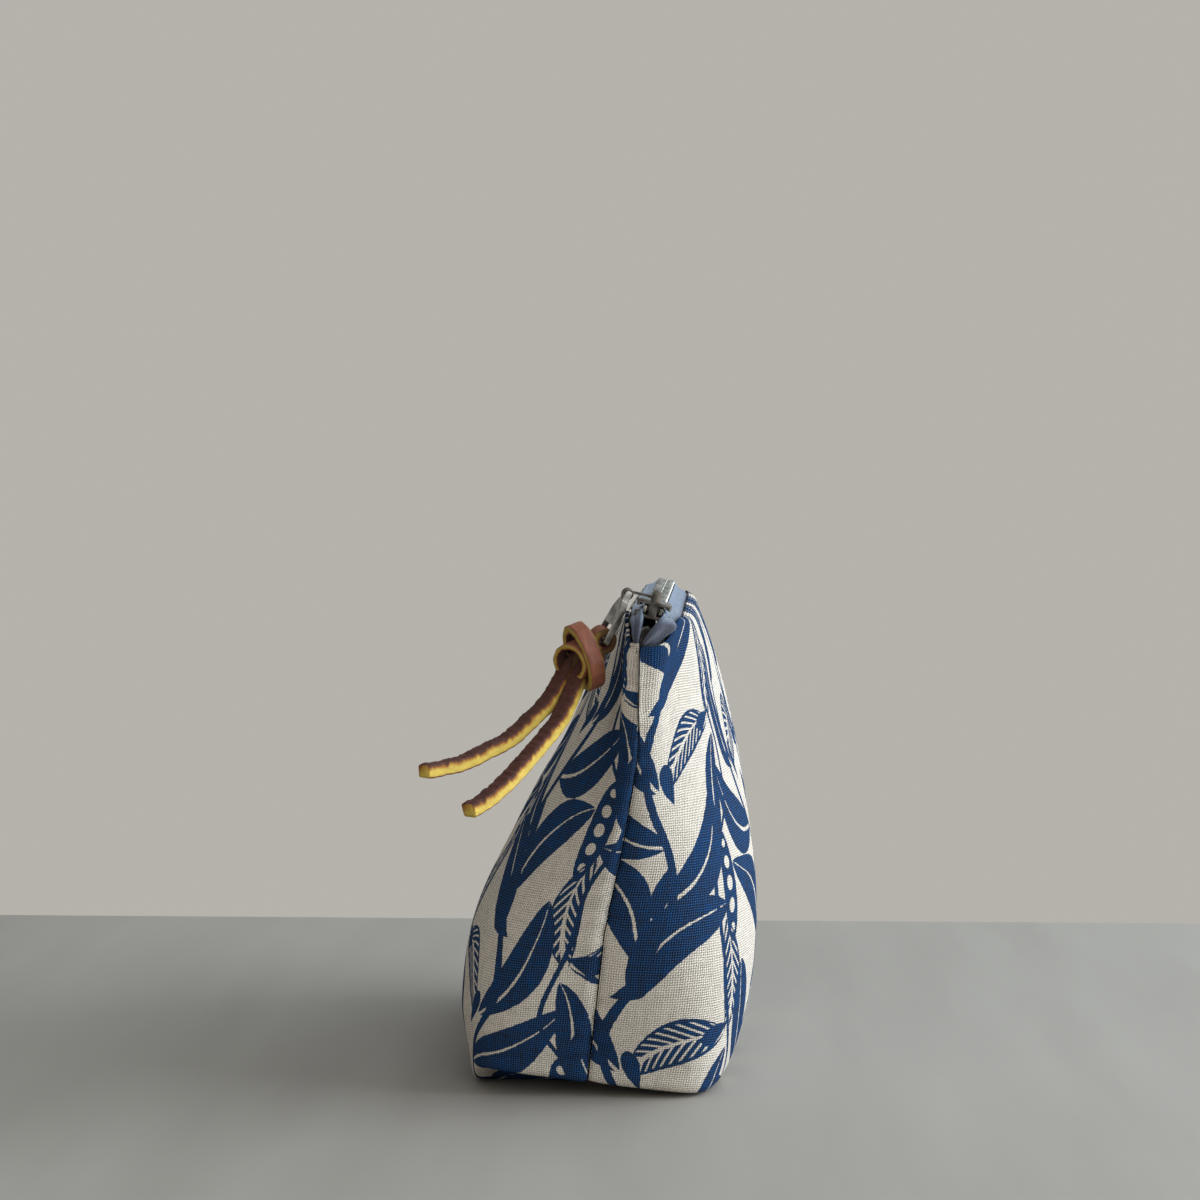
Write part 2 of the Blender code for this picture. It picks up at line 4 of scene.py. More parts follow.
import bmesh
import bpy
import numpy as np
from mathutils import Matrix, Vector


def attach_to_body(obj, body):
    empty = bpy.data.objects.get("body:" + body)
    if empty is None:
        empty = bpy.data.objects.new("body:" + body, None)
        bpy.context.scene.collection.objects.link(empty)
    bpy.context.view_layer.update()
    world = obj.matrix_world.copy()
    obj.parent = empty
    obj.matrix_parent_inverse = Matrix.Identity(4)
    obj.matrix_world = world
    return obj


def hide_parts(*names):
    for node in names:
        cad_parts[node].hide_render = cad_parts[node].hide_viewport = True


bl_info = {
    "name": "Linen pouch",
    "version": (1, 0, 0),
    "blender": (4, 5, 0),
    "location": "3D View > Sidebar > Pouch",
    "description": "Builds a printed linen pouch with a metal zip and a leather pull",
    "category": "Add Mesh",
}

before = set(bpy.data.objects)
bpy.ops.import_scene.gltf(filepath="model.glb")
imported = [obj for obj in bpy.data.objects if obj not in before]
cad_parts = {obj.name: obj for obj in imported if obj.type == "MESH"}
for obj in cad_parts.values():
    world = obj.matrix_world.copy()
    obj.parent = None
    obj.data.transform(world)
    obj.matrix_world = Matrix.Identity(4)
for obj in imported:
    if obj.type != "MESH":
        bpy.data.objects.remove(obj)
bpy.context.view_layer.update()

# Outer surface of the pouch, from the mouth down to the edge of the base.
# Each row: height, half length, Y of the side seam, shift of the middle, reach to the front,
# reach to the back, power of the ends, power of the sides, drop at the ends, pinch at the ends.
LEVELS = np.array([
    (0.1370, 0.1040, 0.0110, 0.0035, 0.0076, 0.0080, 14.0, 1.50, 0.0090, 0.00),
    (0.1335, 0.1036, 0.0110, 0.0028, 0.0087, 0.0120, 6.0, 1.40, 0.0080, 0.00),
    (0.1180, 0.1020, 0.0108, 0.0008, 0.0151, 0.0194, 3.2, 1.25, 0.0045, 0.00),
    (0.0980, 0.0980, 0.0103, 0.0000, 0.0237, 0.0258, 3.0, 1.45, 0.0015, 0.00),
    (0.0740, 0.0930, 0.0063, 0.0000, 0.0333, 0.0349, 3.2, 2.10, 0.0000, 0.03),
    (0.0480, 0.0870, 0.0008, 0.0000, 0.0395, 0.0432, 4.2, 3.20, 0.0000, 0.08),
    (0.0240, 0.0810, -0.0020, 0.0000, 0.0407, 0.0450, 6.0, 5.50, 0.0000, 0.12),
    (0.0070, 0.0775, -0.0040, 0.0000, 0.0377, 0.0425, 8.0, 9.00, 0.0000, 0.12),
    (0.0008, 0.0760, -0.0045, 0.0000, 0.0350, 0.0385, 10.0, 11.0, 0.0000, 0.10),
    (0.0000, 0.0720, -0.0047, 0.0000, 0.0305, 0.0335, 10.0, 11.0, 0.0000, 0.10),
])
MOUTH_TILT = 0.10
SEAM_LIFT = 0.0040
FRONT_CORNER_LIFT = 0.0084
LIFT_HEIGHT = 0.030
END_SHARE = 0.164
SEAM_GAP = 0.0003
# Soft forms of the panels. What differs is given for the front (-1) and the back (1).
ROLL_START = 0.100
ROLL_SPAN = 0.030
SEAM_REACH = {-1: 0.0013, 1: 0.0036}
SEAM_REACH_AT_MOUTH = 0.0048
PUCKERS_PER_METRE = 620
PUCKER_HEIGHT = 0.00028
PUCKER_REACH = 0.0065
RIDGE_HEIGHT = 0.0005
RIDGE_PLACE = 0.0030
RIDGE_WIDTH = 0.0022
MOUTH_ROLL = 0.0006
MOUTH_ROLL_REACH = 0.0016
BULGE_HEIGHT = {-1: 0.0021, 1: 0.0010}
BULGE_PLACE = 0.0068
BULGE_WIDTH = 0.0042
LIP_HEIGHT = 0.0012
LIP_PLACE = 0.0915
LIP_WIDTH = 0.0085
CALM_EDGE = 0.02
CLOTH_WIDTH = 0.230
# Rows, columns at each end and columns along the front
PANEL_GRID = (120, 22, 96)
LINING_GRID = (40, 8, 40)
LINING_DEPTH = 0.0028
LINING_THICKNESS = 0.0004
LINING_TOP = 0.124

# Zip
ZIP_Y = 0.0145
ZIP_Z = 0.1383
ZIP_ROLL = math.radians(-13.0)
CHAIN_START = -0.0897
TOOTH_PITCH = 0.00254
TOOTH_COUNT = 71
TOOTH_HALF = (0.00050, 0.00160, 0.00115)
NIB_HALF = (0.00028, 0.00030, 0.00128)
TOOTH_OFFSET = 0.00125
TAPE_INNER = 0.0030
TAPE_FLAT = 0.0062
TAPE_STRAIGHT = 0.0975
TAPE_SAG = {-1: 0.0016, 1: 0.0007}
TAPE_END_SAG = 0.0026
# The hidden part follows the panels at these heights, behind them and clear of the seam
TAPE_HEIGHTS = (0.1352, 0.1315, 0.1285)
TAPE_CLEARANCE = 0.0021
TAPE_END_CLEARANCE = 0.0030
TAPE_END_REACH = 0.0055
TAPE_SEAM_GAP = 0.0006
# Past the slider's mouth: X, Y of the middle, half distance between the tapes, Z
TAPE_INNER_END = ((0.1003, 0.0143, 0.0026, 0.1365), (0.1017, 0.0126, 0.0015, 0.1330),
                  (0.1003, 0.0112, 0.0008, 0.1300), (0.0970, 0.0110, 0.0006, 0.1280))
TAPE_FLAT_END = ((0.0998, 0.0136, 0.0046, 0.1345), (0.1005, 0.0120, 0.0028, 0.1318),
                 (0.0992, 0.0111, 0.0013, 0.1293), (0.0964, 0.0110, 0.0010, 0.1272))

# Lace: a small ring through the pull's slot, a wide turn round both strands, and two tails
LACE_WIDTH = 0.0046
LACE_THICKNESS = 0.0034
PULL_CENTRE = (0.0915, 0.0004, 0.1300)
PULL_SWING = math.radians(-29.0)
PULL_TWIST = math.radians(28.0)
PULL_EXTRA_TWIST = math.radians(18.0)
PULL_EYE = (0.0915, 0.0073874, 0.1426105)
RING_RADIUS = 0.0025
RING_THICKNESS = 0.0022
TURN_CENTRE = (0.0926, -0.0044, 0.1256)
TURN_LONG_WAY = (-0.07, 0.31, -0.95)
TURN_WIDTH_WAY = (-0.52, 0.80, 0.30)
TURN_HALF_LENGTH = 0.0094
TURN_HALF_WIDTH = 0.0074
TURN_THICKNESS = 0.0024
WRAP_CENTRE = (0.0940, -0.0070, 0.1243)
WRAP_WIDTH_WAY = (-0.80, 0.55, 0.22)
WRAP_HALF_LENGTH = 0.0046
WRAP_HALF_WIDTH = 0.0048
WRAP_THICKNESS = 0.0015
LACE_WEAR = 0.00012
TAIL_NAP = 0.0004
HOOP_NAP = 0.0001
METAL_EDGE = 0.00016
STOP_EDGE = 0.0002
FIRST_TAIL = ((0.0912, -0.0026, 0.1296), (0.0910, -0.0052, 0.1268), (0.0912, -0.0083, 0.1232),
              (0.0945, -0.0112, 0.1176), (0.0979, -0.0141, 0.1130), (0.1022, -0.0185, 0.1088),
              (0.1075, -0.0238, 0.1041), (0.1126, -0.0296, 0.1013), (0.1178, -0.0354, 0.0988),
              (0.1227, -0.0410, 0.0978), (0.1260, -0.0447, 0.0974))
SECOND_TAIL = ((0.0916, 0.0004, 0.1268), (0.0922, -0.0026, 0.1245), (0.0935, -0.0056, 0.1208),
               (0.0967, -0.0075, 0.1157), (0.1018, -0.0105, 0.1091), (0.1068, -0.0145, 0.1040),
               (0.1116, -0.0183, 0.0996), (0.1180, -0.0232, 0.0943), (0.1246, -0.0287, 0.0897),
               (0.1290, -0.0327, 0.0876))

# Camera, as measured from the photograph: 1200 x 1200 frame
CAMERA_DISTANCE = 0.827
CAMERA_HEIGHT = 0.1752
CAMERA_ASIDE = -0.0041
CAMERA_TURN = math.radians(2.5)
CAMERA_TILT = math.atan(126.0 / 2700.0)
CAMERA_LENS = 2700.0 / 1200.0 * 36.0
TABLE_EDGE_X = -0.229

# Metals: dark tone, light tone, roughness
METALS = {"tooth_metal": ((0.14, 0.135, 0.12), (0.55, 0.53, 0.49), 0.30),
          "aged_metal": ((0.06, 0.055, 0.05), (0.19, 0.178, 0.16), 0.32),
          # the pull tab's metal: lighter tones than the slider's, painted light on the tab's lit face
          "tab_painted_light_metal": ((0.30, 0.285, 0.26), (0.66, 0.64, 0.60), 0.40)}
# Painted shade on the zip tape's turned-down ends, in a dark and a light tone of the weave
TAPE_SHADE_DARK = (0.022, 0.026, 0.042)
TAPE_SHADE_LIGHT = (0.105, 0.118, 0.165)
# Stain on the cut edge towards its rough side; the cut ends are moved into it as painted shade
EDGE_STAIN_AND_SHADE = (0.30, 0.10, 0.012)

# The print's motifs: centre in shares of the repeat, turn in degrees, then millimetres
# Leaves: length, width, bend, and whether they have side veins
LEAVES = (((0.22, 0.10), 40, 42, 17.0, 6.0, False), ((-0.20, 0.22), 138, 40, 15.0, -6.0, False),
          ((0.24, 0.43), 58, 38, 15.5, -6.0, False), ((-0.22, 0.56), 150, 40, 16.5, 6.0, False),
          ((0.26, 0.74), 28, 36, 14.0, 6.0, True), ((-0.19, 0.86), 118, 42, 15.0, 5.0, False),
          ((0.50, 0.02), 96, 34, 11.0, -4.0, True), ((0.50, 0.60), 78, 32, 11.0, 4.0, False))
# Pod and seeds: length, width
POD = ((0.51, 0.31), 100, 30, 9.0)
SEEDS = (((0.06, 0.29), 80, 15, 6.5), ((0.03, 0.66), -70, 14, 6.0),
         ((0.44, 0.84), 20, 13, 5.5), ((-0.02, 0.97), 205, 14, 6.0))

# Room and table
ROOM_DIM = (0.25, 0.245, 0.235, 1.0)
ROOM_BRIGHT = (0.88, 0.98, 1.0, 1.0)
ROOM_STRENGTH = 0.95
ROOM_FROM = -0.75
ROOM_TO = 0.95
WALL = (0.465, 0.445, 0.41, 1.0)
TABLE_DARK = (0.225, 0.205, 0.18)
TABLE_LIGHT = (0.305, 0.285, 0.255)
# Lamps: name, place, aim, size, power, colour
LAMPS = (("window", (0.05, 1.25, 0.6), (0.0, 0.0, 0.07), 1.3, 28.5, (0.84, 0.92, 1.0)),
         ("sky_window", (-0.7, 0.9, 1.1), (0.0, 0.0, 0.07), 1.2, 8.0, (0.82, 0.91, 1.0)),
         ("fill", (1.3, 0.25, 0.7), (0.0, 0.0, 0.07), 1.0, 3.3, (1.0, 0.90, 0.82)),
         ("left_card", (0.9, -0.9, 0.45), (0.08, 0.0, 0.12), 0.6, 1.8, (1.0, 0.97, 0.93)))


class PouchSizes(bpy.types.PropertyGroup):
    """Sizes that a user may want to change."""
    linen_thickness: bpy.props.FloatProperty(
        name="Linen thickness", description="Thickness of the outer cloth",
        default=0.0009, min=0.0003, max=0.003, precision=5, unit="LENGTH")
    thread_pitch: bpy.props.FloatProperty(
        name="Thread pitch", description="Distance between two threads of the linen",
        default=0.00072, min=0.0002, max=0.003, precision=5, unit="LENGTH")
    seam_depth: bpy.props.FloatProperty(
        name="Seam depth", description="How far the cloth is drawn in at its seams",
        default=0.0015, min=0.0, max=0.003, precision=5, unit="LENGTH")
    slack: bpy.props.FloatProperty(
        name="Slack", description="Height of the soft dents in the cloth",
        default=0.0010, min=0.0, max=0.004, precision=5, unit="LENGTH")
    tape_thickness: bpy.props.FloatProperty(
        name="Tape thickness", description="Thickness of the woven zip tape",
        default=0.0006, min=0.0002, max=0.002, precision=5, unit="LENGTH")
    print_width: bpy.props.FloatProperty(
        name="Print repeat", description="Width of one repeat of the leaf print",
        default=0.064, min=0.02, max=0.2, precision=4, unit="LENGTH")


class PouchColours(bpy.types.PropertyGroup):
    """Colours that a user may want to change."""
    linen: bpy.props.FloatVectorProperty(
        name="Linen", description="Natural colour of the cloth",
        default=(0.67, 0.605, 0.525), min=0.0, max=1.0, size=3, subtype="COLOR")
    ink: bpy.props.FloatVectorProperty(
        name="Ink", description="Dark blue of the leaf print",
        default=(0.005, 0.031, 0.092), min=0.0, max=1.0, size=3, subtype="COLOR")
    tape: bpy.props.FloatVectorProperty(
        name="Tape", description="Slate blue of the zip tape",
        default=(0.14, 0.18, 0.245), min=0.0, max=1.0, size=3, subtype="COLOR")
    leather: bpy.props.FloatVectorProperty(
        name="Leather", description="Smooth side of the lace",
        default=(0.22, 0.073, 0.040), min=0.0, max=1.0, size=3, subtype="COLOR")
    leather_edge: bpy.props.FloatVectorProperty(
        name="Leather edge", description="Cut edges of the lace",
        default=(0.62, 0.44, 0.08), min=0.0, max=1.0, size=3, subtype="COLOR")
    suede: bpy.props.FloatVectorProperty(
        name="Suede", description="Rough side of the lace",
        default=(0.062, 0.020, 0.014), min=0.0, max=1.0, size=3, subtype="COLOR")


# Shader sums

class Field:
    """A number that varies over a surface; sums on it add Math nodes."""

    def __init__(self, finish, socket):
        self.finish = finish
        self.socket = socket

    def maths(self, operation, *values):
        node = self.finish.node("ShaderNodeMath", {"operation": operation}, dict(enumerate(values)))
        return Field(self.finish, node.outputs[0])

    def __add__(self, other):
        return self.maths("ADD", self, other)

    __radd__ = __add__

    def __sub__(self, other):
        return self.maths("SUBTRACT", self, other)

    def __rsub__(self, other):
        return self.maths("SUBTRACT", other, self)

    def __mul__(self, other):
        return self.maths("MULTIPLY", self, other)

    __rmul__ = __mul__

    def __truediv__(self, other):
        return self.maths("DIVIDE", self, other)

    def __rtruediv__(self, other):
        return self.maths("DIVIDE", other, self)

    def __pow__(self, other):
        return self.maths("POWER", self, other)

    def __abs__(self):
        return self.maths("ABSOLUTE", self)

    def sine(self):
        return self.maths("SINE", self)

    def cosine(self):
        return self.maths("COSINE", self)

    def whole(self):
        return self.maths("FLOOR", self)

    def part(self):
        return self.maths("FRACT", self)

    def most(self, other):
        return self.maths("MAXIMUM", self, other)

    def least(self, other):
        return self.maths("MINIMUM", self, other)

    def step(self, low, high):
        """0 below low, 1 above high, and a soft rise between."""
        node = self.finish.node("ShaderNodeMapRange", {"interpolation_type": "SMOOTHSTEP"},
                                {0: self, 1: low, 2: high, 3: 0.0, 4: 1.0})
        return Field(self.finish, node.outputs[0])


class NodeTree:
    """The nodes of a material or of the room, under construction."""

    def __init__(self, tree):
        self.nodes = tree.nodes
        self.links = tree.links

    def node(self, kind, settings=None, sockets=None):
        """Any node, from its type, its settings, and the values or links of its sockets."""
        node = self.nodes.new(kind)
        for key, value in (settings or {}).items():
            setattr(node, key, value)
        for key, value in (sockets or {}).items():
            self.feed(node.inputs[key], value)
        return node

    def feed(self, socket, value):
        if isinstance(value, Field):
            value = value.socket
        if isinstance(value, bpy.types.NodeSocket):
            self.links.new(value, socket)
        elif isinstance(value, (tuple, list)) and socket.type == "RGBA" and len(value) == 3:
            socket.default_value = (*value, 1.0)
        else:
            socket.default_value = value


class Finish(NodeTree):
    """One procedural material under construction."""

    def __init__(self, name):
        self.material = bpy.data.materials.new(name)
        self.material.use_nodes = True
        super().__init__(self.material.node_tree)
        self.surface = self.nodes["Principled BSDF"]

    def coordinates(self, kind):
        """Three numbers: the place on the object or on its UV map, in millimetres."""
        source = self.node("ShaderNodeTexCoord").outputs[kind]
        split = self.node("ShaderNodeSeparateXYZ", None, {0: source})
        return [Field(self, split.outputs[i]) * 1000.0 for i in range(3)]

    def point(self, x, y, z=0.0):
        return self.node("ShaderNodeCombineXYZ", None, {0: x, 1: y, 2: z}).outputs[0]

    def noise(self, place, scale, detail=2.0, roughness=0.5):
        """Smooth noise from 0 to 1 at a place given in millimetres."""
        node = self.node("ShaderNodeTexNoise", {"noise_dimensions": "3D"},
                         {"Vector": place, "Scale": scale, "Detail": detail, "Roughness": roughness})
        return Field(self, node.outputs[0])

    def mix(self, factor, first, second):
        """A colour between two colours."""
        node = self.node("ShaderNodeMix", {"data_type": "RGBA"}, {0: factor, 6: first, 7: second})
        return node.outputs[2]

    def bump(self, height, distance, strength=1.0):
        node = self.node("ShaderNodeBump", None,
                         {"Height": height, "Distance": distance, "Strength": strength})
        self.feed(self.surface.inputs["Normal"], node.outputs[0])

    def set(self, **values):
        names = {"colour": "Base Color", "rough": "Roughness", "metal": "Metallic",
                 "sheen": "Sheen Weight", "sheen_rough": "Sheen Roughness", "specular": "Specular IOR Level"}
        for key, value in values.items():
            self.feed(self.surface.inputs[names[key]], value)
        return self.material


def shade(colour, factor):
    """A lighter or darker tone of a colour."""
    return tuple(min(1.0, c * factor) for c in colour)


def wrapped(value, period):
    """The same place in a repeat that is centred on 0."""
    return ((value / period + 0.5).part() - 0.5) * period


class Motif:
    """A place of its own in the print's repeat: a runs 0 to 1 along it, b across it in millimetres."""

    def __init__(self, x, y, tile, centre, turn, length):
        cos, sin = math.cos(math.radians(turn)), math.sin(math.radians(turn))
        across = wrapped(x - centre[0] * tile[0], tile[0])
        up = wrapped(y - centre[1] * tile[1], tile[1])
        self.length = length
        self.a = ((across * cos + up * sin) / length + 0.5).most(0.0).least(1.0)
        self.b = up * cos - across * sin

    def leaf(self, width, bend, lined, rough):
        """Ink of a bent leaf, with a tapering pale rib, and pale side veins if it is lined.

        The middle line bends aside by bend times 4a(1 - a), and the half width is width / 2 times
        the 0.7 power of 4a(1 - a).
        """
        arch = self.a * (1.0 - self.a) * 4.0
        b = self.b - arch * bend
        off = abs(b) + rough
        half = arch ** 0.7 * (width / 2)
        ink = (half - off).step(0.0, 0.22)
        rib = (off - (1.0 - self.a) * (0.9 if lined else 0.55) - 0.1).step(-0.12, 0.12)
        if lined:
            veins = ((self.a * self.length + abs(b) * 1.4) / 3.6).part()
            line = (abs(veins - 0.5) - 0.33).step(-0.04, 0.06)
            rib = rib.least(1.0 - line * (half * 0.84 - off).step(0.0, 0.4))
        return ink * rib

    def seed(self, width, rough):
        """Ink of a seed: pointed at one end and round at the other."""
        half = (self.a * (1.0 - self.a) * (1.0 - self.a) * 6.75) ** 0.6 * (width / 2)
        return (half - abs(self.b) - rough).step(0.0, 0.22)

    def pod(self, width, rough):
        """Ink of a long pod with a row of pale round seeds inside."""
        half = (self.a * (1.0 - self.a) * 4.0) ** 0.5 * (width / 2)
        ink = (half - abs(self.b) - rough).step(0.0, 0.22)
        place = wrapped((self.a - 0.5) * self.length, width * 0.62)
        reach = (place * place + self.b * self.b) ** 0.5
        return ink * (reach - half * 0.42).step(-0.15, 0.15)


def leaf_print(finish, u, v, repeat, shift):
    """Ink coverage of a block print: winding stems with arching leaves, a pod and seeds."""
    wander = finish.noise(finish.point(u * 0.02, v * 0.02, shift), 1.0, 1.0)
    wander_too = finish.noise(finish.point(u * 0.02, v * 0.02, shift + 7.3), 1.0, 1.0)
    x = u + (wander - 0.5) * 16.0 + shift * 11.0
    y = v + (wander_too - 0.5) * 16.0 + shift * 5.0
    rough = (finish.noise(finish.point(u, v, 2.0), 0.8, 2.0) - 0.5) * 0.7
    tile = (repeat, repeat * 1.35)
    s = repeat / 64.0
    phase = y * (2 * math.pi / tile[1])
    swing = phase.sine() * (repeat * 0.13)
    ink = (abs(wrapped(x - swing, repeat)) + rough - 1.5 * s).step(0.22, 0.0)
    thin = abs(wrapped(x - repeat / 2 + swing * 0.8 - (phase * 2.0).sine() * 2.4, repeat))
    ink = ink.most((thin + rough - 0.8 * s).step(0.22, 0.0))
    for centre, turn, length, width, bend, lined in LEAVES:
        motif = Motif(x, y, tile, centre, turn, length * s)
        ink = ink.most(motif.leaf(width * s, bend * s, lined, rough))
    centre, turn, length, width = POD
    ink = ink.most(Motif(x, y, tile, centre, turn, length * s).pod(width * s, rough))
    for centre, turn, length, width in SEEDS:
        ink = ink.most(Motif(x, y, tile, centre, turn, length * s).seed(width * s, rough))
    return ink


def linen_material(name, colours, sizes, shift):
    """Coarse plain-weave linen with uneven threads, printed in dark blue, with painted shade in the weave's gaps and
    painted highlight on its threads.
    """
    finish = Finish(name)
    u, v, _ = finish.coordinates("UV")
    pitch = sizes.thread_pitch * 1000.0
    sway = finish.noise(finish.point(u * 0.12, v * 0.12, 1.0), 1.0, 2.0)
    u_wavy = u + (sway - 0.5) * 0.5
    v_wavy = v + (finish.noise(finish.point(v * 0.12, u * 0.12, 4.0), 1.0, 2.0) - 0.5) * 0.5
    warp = u_wavy / pitch
    weft = v_wavy / pitch
    warp_round = (warp * math.pi).sine() ** 2.0
    weft_round = (weft * math.pi).sine() ** 2.0
    warp_over = ((weft - 0.5 + warp.whole()) * math.pi).cosine() * 0.5 + 0.5
    weft_over = 0.5 - ((warp - 0.5 + weft.whole()) * math.pi).cosine() * 0.5
    slub_warp = finish.noise(finish.point(warp.whole() * 1.7, v * 0.11, 3.0), 1.0, 2.0)
    slub_weft = finish.noise(finish.point(u * 0.11, weft.whole() * 1.7, 9.0), 1.0, 2.0)
    warp_high = warp_round * warp_over * (0.45 + slub_warp)
    weft_high = weft_round * weft_over * (0.45 + slub_weft)
    weave = warp_high.most(weft_high)
    ink = leaf_print(finish, u, v, sizes.print_width * 1000.0, shift)
    patchy = finish.noise(finish.point(u, v, 5.0), 0.22, 3.0)
    thread = ((slub_warp + slub_weft) * 0.5 - 0.5) * 0.9 + (patchy - 0.5) * 0.35
    # painted shade in the gaps between threads and painted highlight on their tops, over the threads' own uneven tone
    cover = (weave * 1.5 + thread).step(-0.05, 0.75)
    cloth = finish.mix(cover, shade(colours.linen, 0.36), shade(colours.linen, 1.16))
    # the ink too is near black in the gaps and bright blue on thread tops: painted shade and painted highlight over
    # the print
    inked = finish.mix((weave * 1.1 + thread * 0.9 - 0.05).step(0.0, 1.0),
                       shade(colours.ink, 0.2), shade(colours.ink, 2.5))
    colour = finish.mix(ink * (0.98 + thread * 0.08).least(1.0), cloth, inked)
    finish.bump(weave, 0.00034, 1.0)
    return finish.set(colour=colour, rough=0.95, specular=0.04)


def lining_material(colours):
    """Pale plain cotton."""
    finish = Finish("lining_cotton")
    u, v, _ = finish.coordinates("UV")
    weave = (u * 8.0).sine() * (v * 8.0).sine()
    tone = finish.noise(finish.point(u, v), 0.3, 3.0)
    finish.bump(weave, 0.0001, 0.5)
    return finish.set(colour=finish.mix(tone, shade(colours.linen, 1.0), shade(colours.linen, 1.3)), rough=0.9)


def tape_material(colours):
    """Fine herringbone tape in slate blue, with painted shade where its ends turn down."""
    finish = Finish("zip_tape")
    u, v, _ = finish.coordinates("UV")
    slant = (abs((v / 3.2).part() - 0.5) * 3.2 + u) / 0.42
    rib = (slant * (2 * math.pi)).sine() * 0.5 + 0.5
    fine = (v * (2 * math.pi / 0.30)).sine() * 0.5 + 0.5
    tone = finish.noise(finish.point(u, v), 0.5, 3.0)
    height = rib * 0.6 + fine * 0.4
    raised = (height * 0.6 + tone * 0.5).step(0.1, 1.0)
    painted_shade_tone = finish.mix(raised, TAPE_SHADE_DARK, TAPE_SHADE_LIGHT)
    level = finish.mix(raised, shade(colours.tape, 0.62), shade(colours.tape, 1.55))
    _, _, up = finish.coordinates("Object")
    # painted shade: below the mouth the turned-down ends take the darker, greyer tones
    colour = finish.mix((up + (tone - 0.5) * 2.0).step(134.5, 138.0), painted_shade_tone, level)
    finish.bump(height, 0.0001, 0.7)
    return finish.set(colour=colour, rough=0.8, sheen=0.15, sheen_rough=0.5, specular=0.3)


def metal_material(name):
    """Aged metal from the METALS table: dark with patches rubbed lighter, and a fine grain."""
    dark, light, rough = METALS[name]
    finish = Finish(name)
    x, y, z = finish.coordinates("Object")
    patch = finish.noise(finish.point(x, y, z), 0.35, 3.0, 0.5)
    grain = finish.noise(finish.point(x * 3.0, y * 3.0, z * 3.0), 1.6, 3.0)
    colour = finish.mix(patch.step(0.30, 0.72), dark, light)
    finish.bump(grain, 0.00004, 0.5)
    return finish.set(colour=colour, metal=1.0, rough=(rough + (patch - 0.5) * 0.25 + (grain - 0.5) * 0.1))


def leather_materials(colours, name, shaded_start, edge_painted_shade):
    """Three faces of a cut lace: smooth grain, rough flesh side, and pale cut edge."""
    made = []
    finish = Finish(name + "_grain")
    u, v, _ = finish.coordinates("UV")
    cells = finish.node("ShaderNodeTexVoronoi", {"feature": "DISTANCE_TO_EDGE"},
                        {"Vector": finish.point(u, v), "Scale": 2.2})
    pore = Field(finish, cells.outputs[0])
    tone = finish.noise(finish.point(u, v), 0.35, 4.0)
    streak = finish.noise(finish.point(u * 0.3, v * 2.0), 1.0, 3.0)
    colour = finish.mix((tone * 0.6 + streak * 0.5).step(0.2, 0.9),
                        shade(colours.leather, 0.6), shade(colours.leather, 1.4))
    finish.bump(pore.least(0.25) * 2.0 + streak * 0.5, 0.00008, 0.6)
    made.append(finish.set(colour=colour, rough=0.46 + (tone - 0.5) * 0.3, specular=0.32))
    finish = Finish(name + "_suede")
    u, v, _ = finish.coordinates("UV")
    nap = finish.noise(finish.point(u, v), 3.0, 4.0, 0.7)
    tone = finish.noise(finish.point(u, v), 0.5, 3.0)
    colour = finish.mix((nap * 0.7 + tone * 0.4).step(0.25, 0.85),
                        shade(colours.suede, 0.6), shade(colours.suede, 2.2))
    finish.bump(nap, 0.0005, 1.0)
    made.append(finish.set(colour=colour, rough=0.95, sheen=0.06, sheen_rough=0.5, specular=0.1))
    finish = Finish(name + "_edge")
    u, v, _ = finish.coordinates("UV")
    fibre = finish.noise(finish.point(u * 0.35, v * 3.0), 1.4, 4.0, 0.65)
    tone = finish.noise(finish.point(u, v, 3.0), 0.4, 3.0)
    stain = finish.noise(finish.point(u, v * 0.4, 8.0), 0.7, 3.0)
    # a factor below 1 darkens the cut edge: painted shade where the lace lies in the knot
    colour = finish.mix((fibre * 0.6 + tone * 0.5).step(0.2, 0.9),
                        shade(colours.leather_edge, 0.66 * edge_painted_shade), shade(colours.leather_edge, 1.2 * edge_painted_shade))
    rough_side = (v + (stain - 0.5) * 2.2).step(-0.1, 1.2)
    colour = finish.mix(rough_side, colour, EDGE_STAIN_AND_SHADE)
    colour = finish.mix((v + (stain - 0.5) * 1.6).step(0.7, 1.6), colour, shade(colours.suede, 0.9))
    # painted shade: the cut edge darkens over its first millimetres, where the lace runs into the knot
    if shaded_start:
        colour = finish.mix((u + (stain - 0.5) * 5.0).step(17.0, 9.0) * 0.9, colour, shade(colours.suede, 0.8))
    finish.bump(fibre, 0.0002, 0.8)
    made.append(finish.set(colour=colour, rough=0.75, specular=0.3))
    return made


# Meshes

def grid_faces(rows, columns, wrap=False):
    """Quads of a grid whose points run along its rows: each joins two columns of two rows."""
    i, k = np.meshgrid(np.arange(rows - 1), np.arange(columns if wrap else columns - 1), indexing="ij")
    a = i * columns + k
    b = i * columns + (k + 1) % columns
    return np.stack([a, b, b + columns, a + columns], -1).reshape(-1, 4)


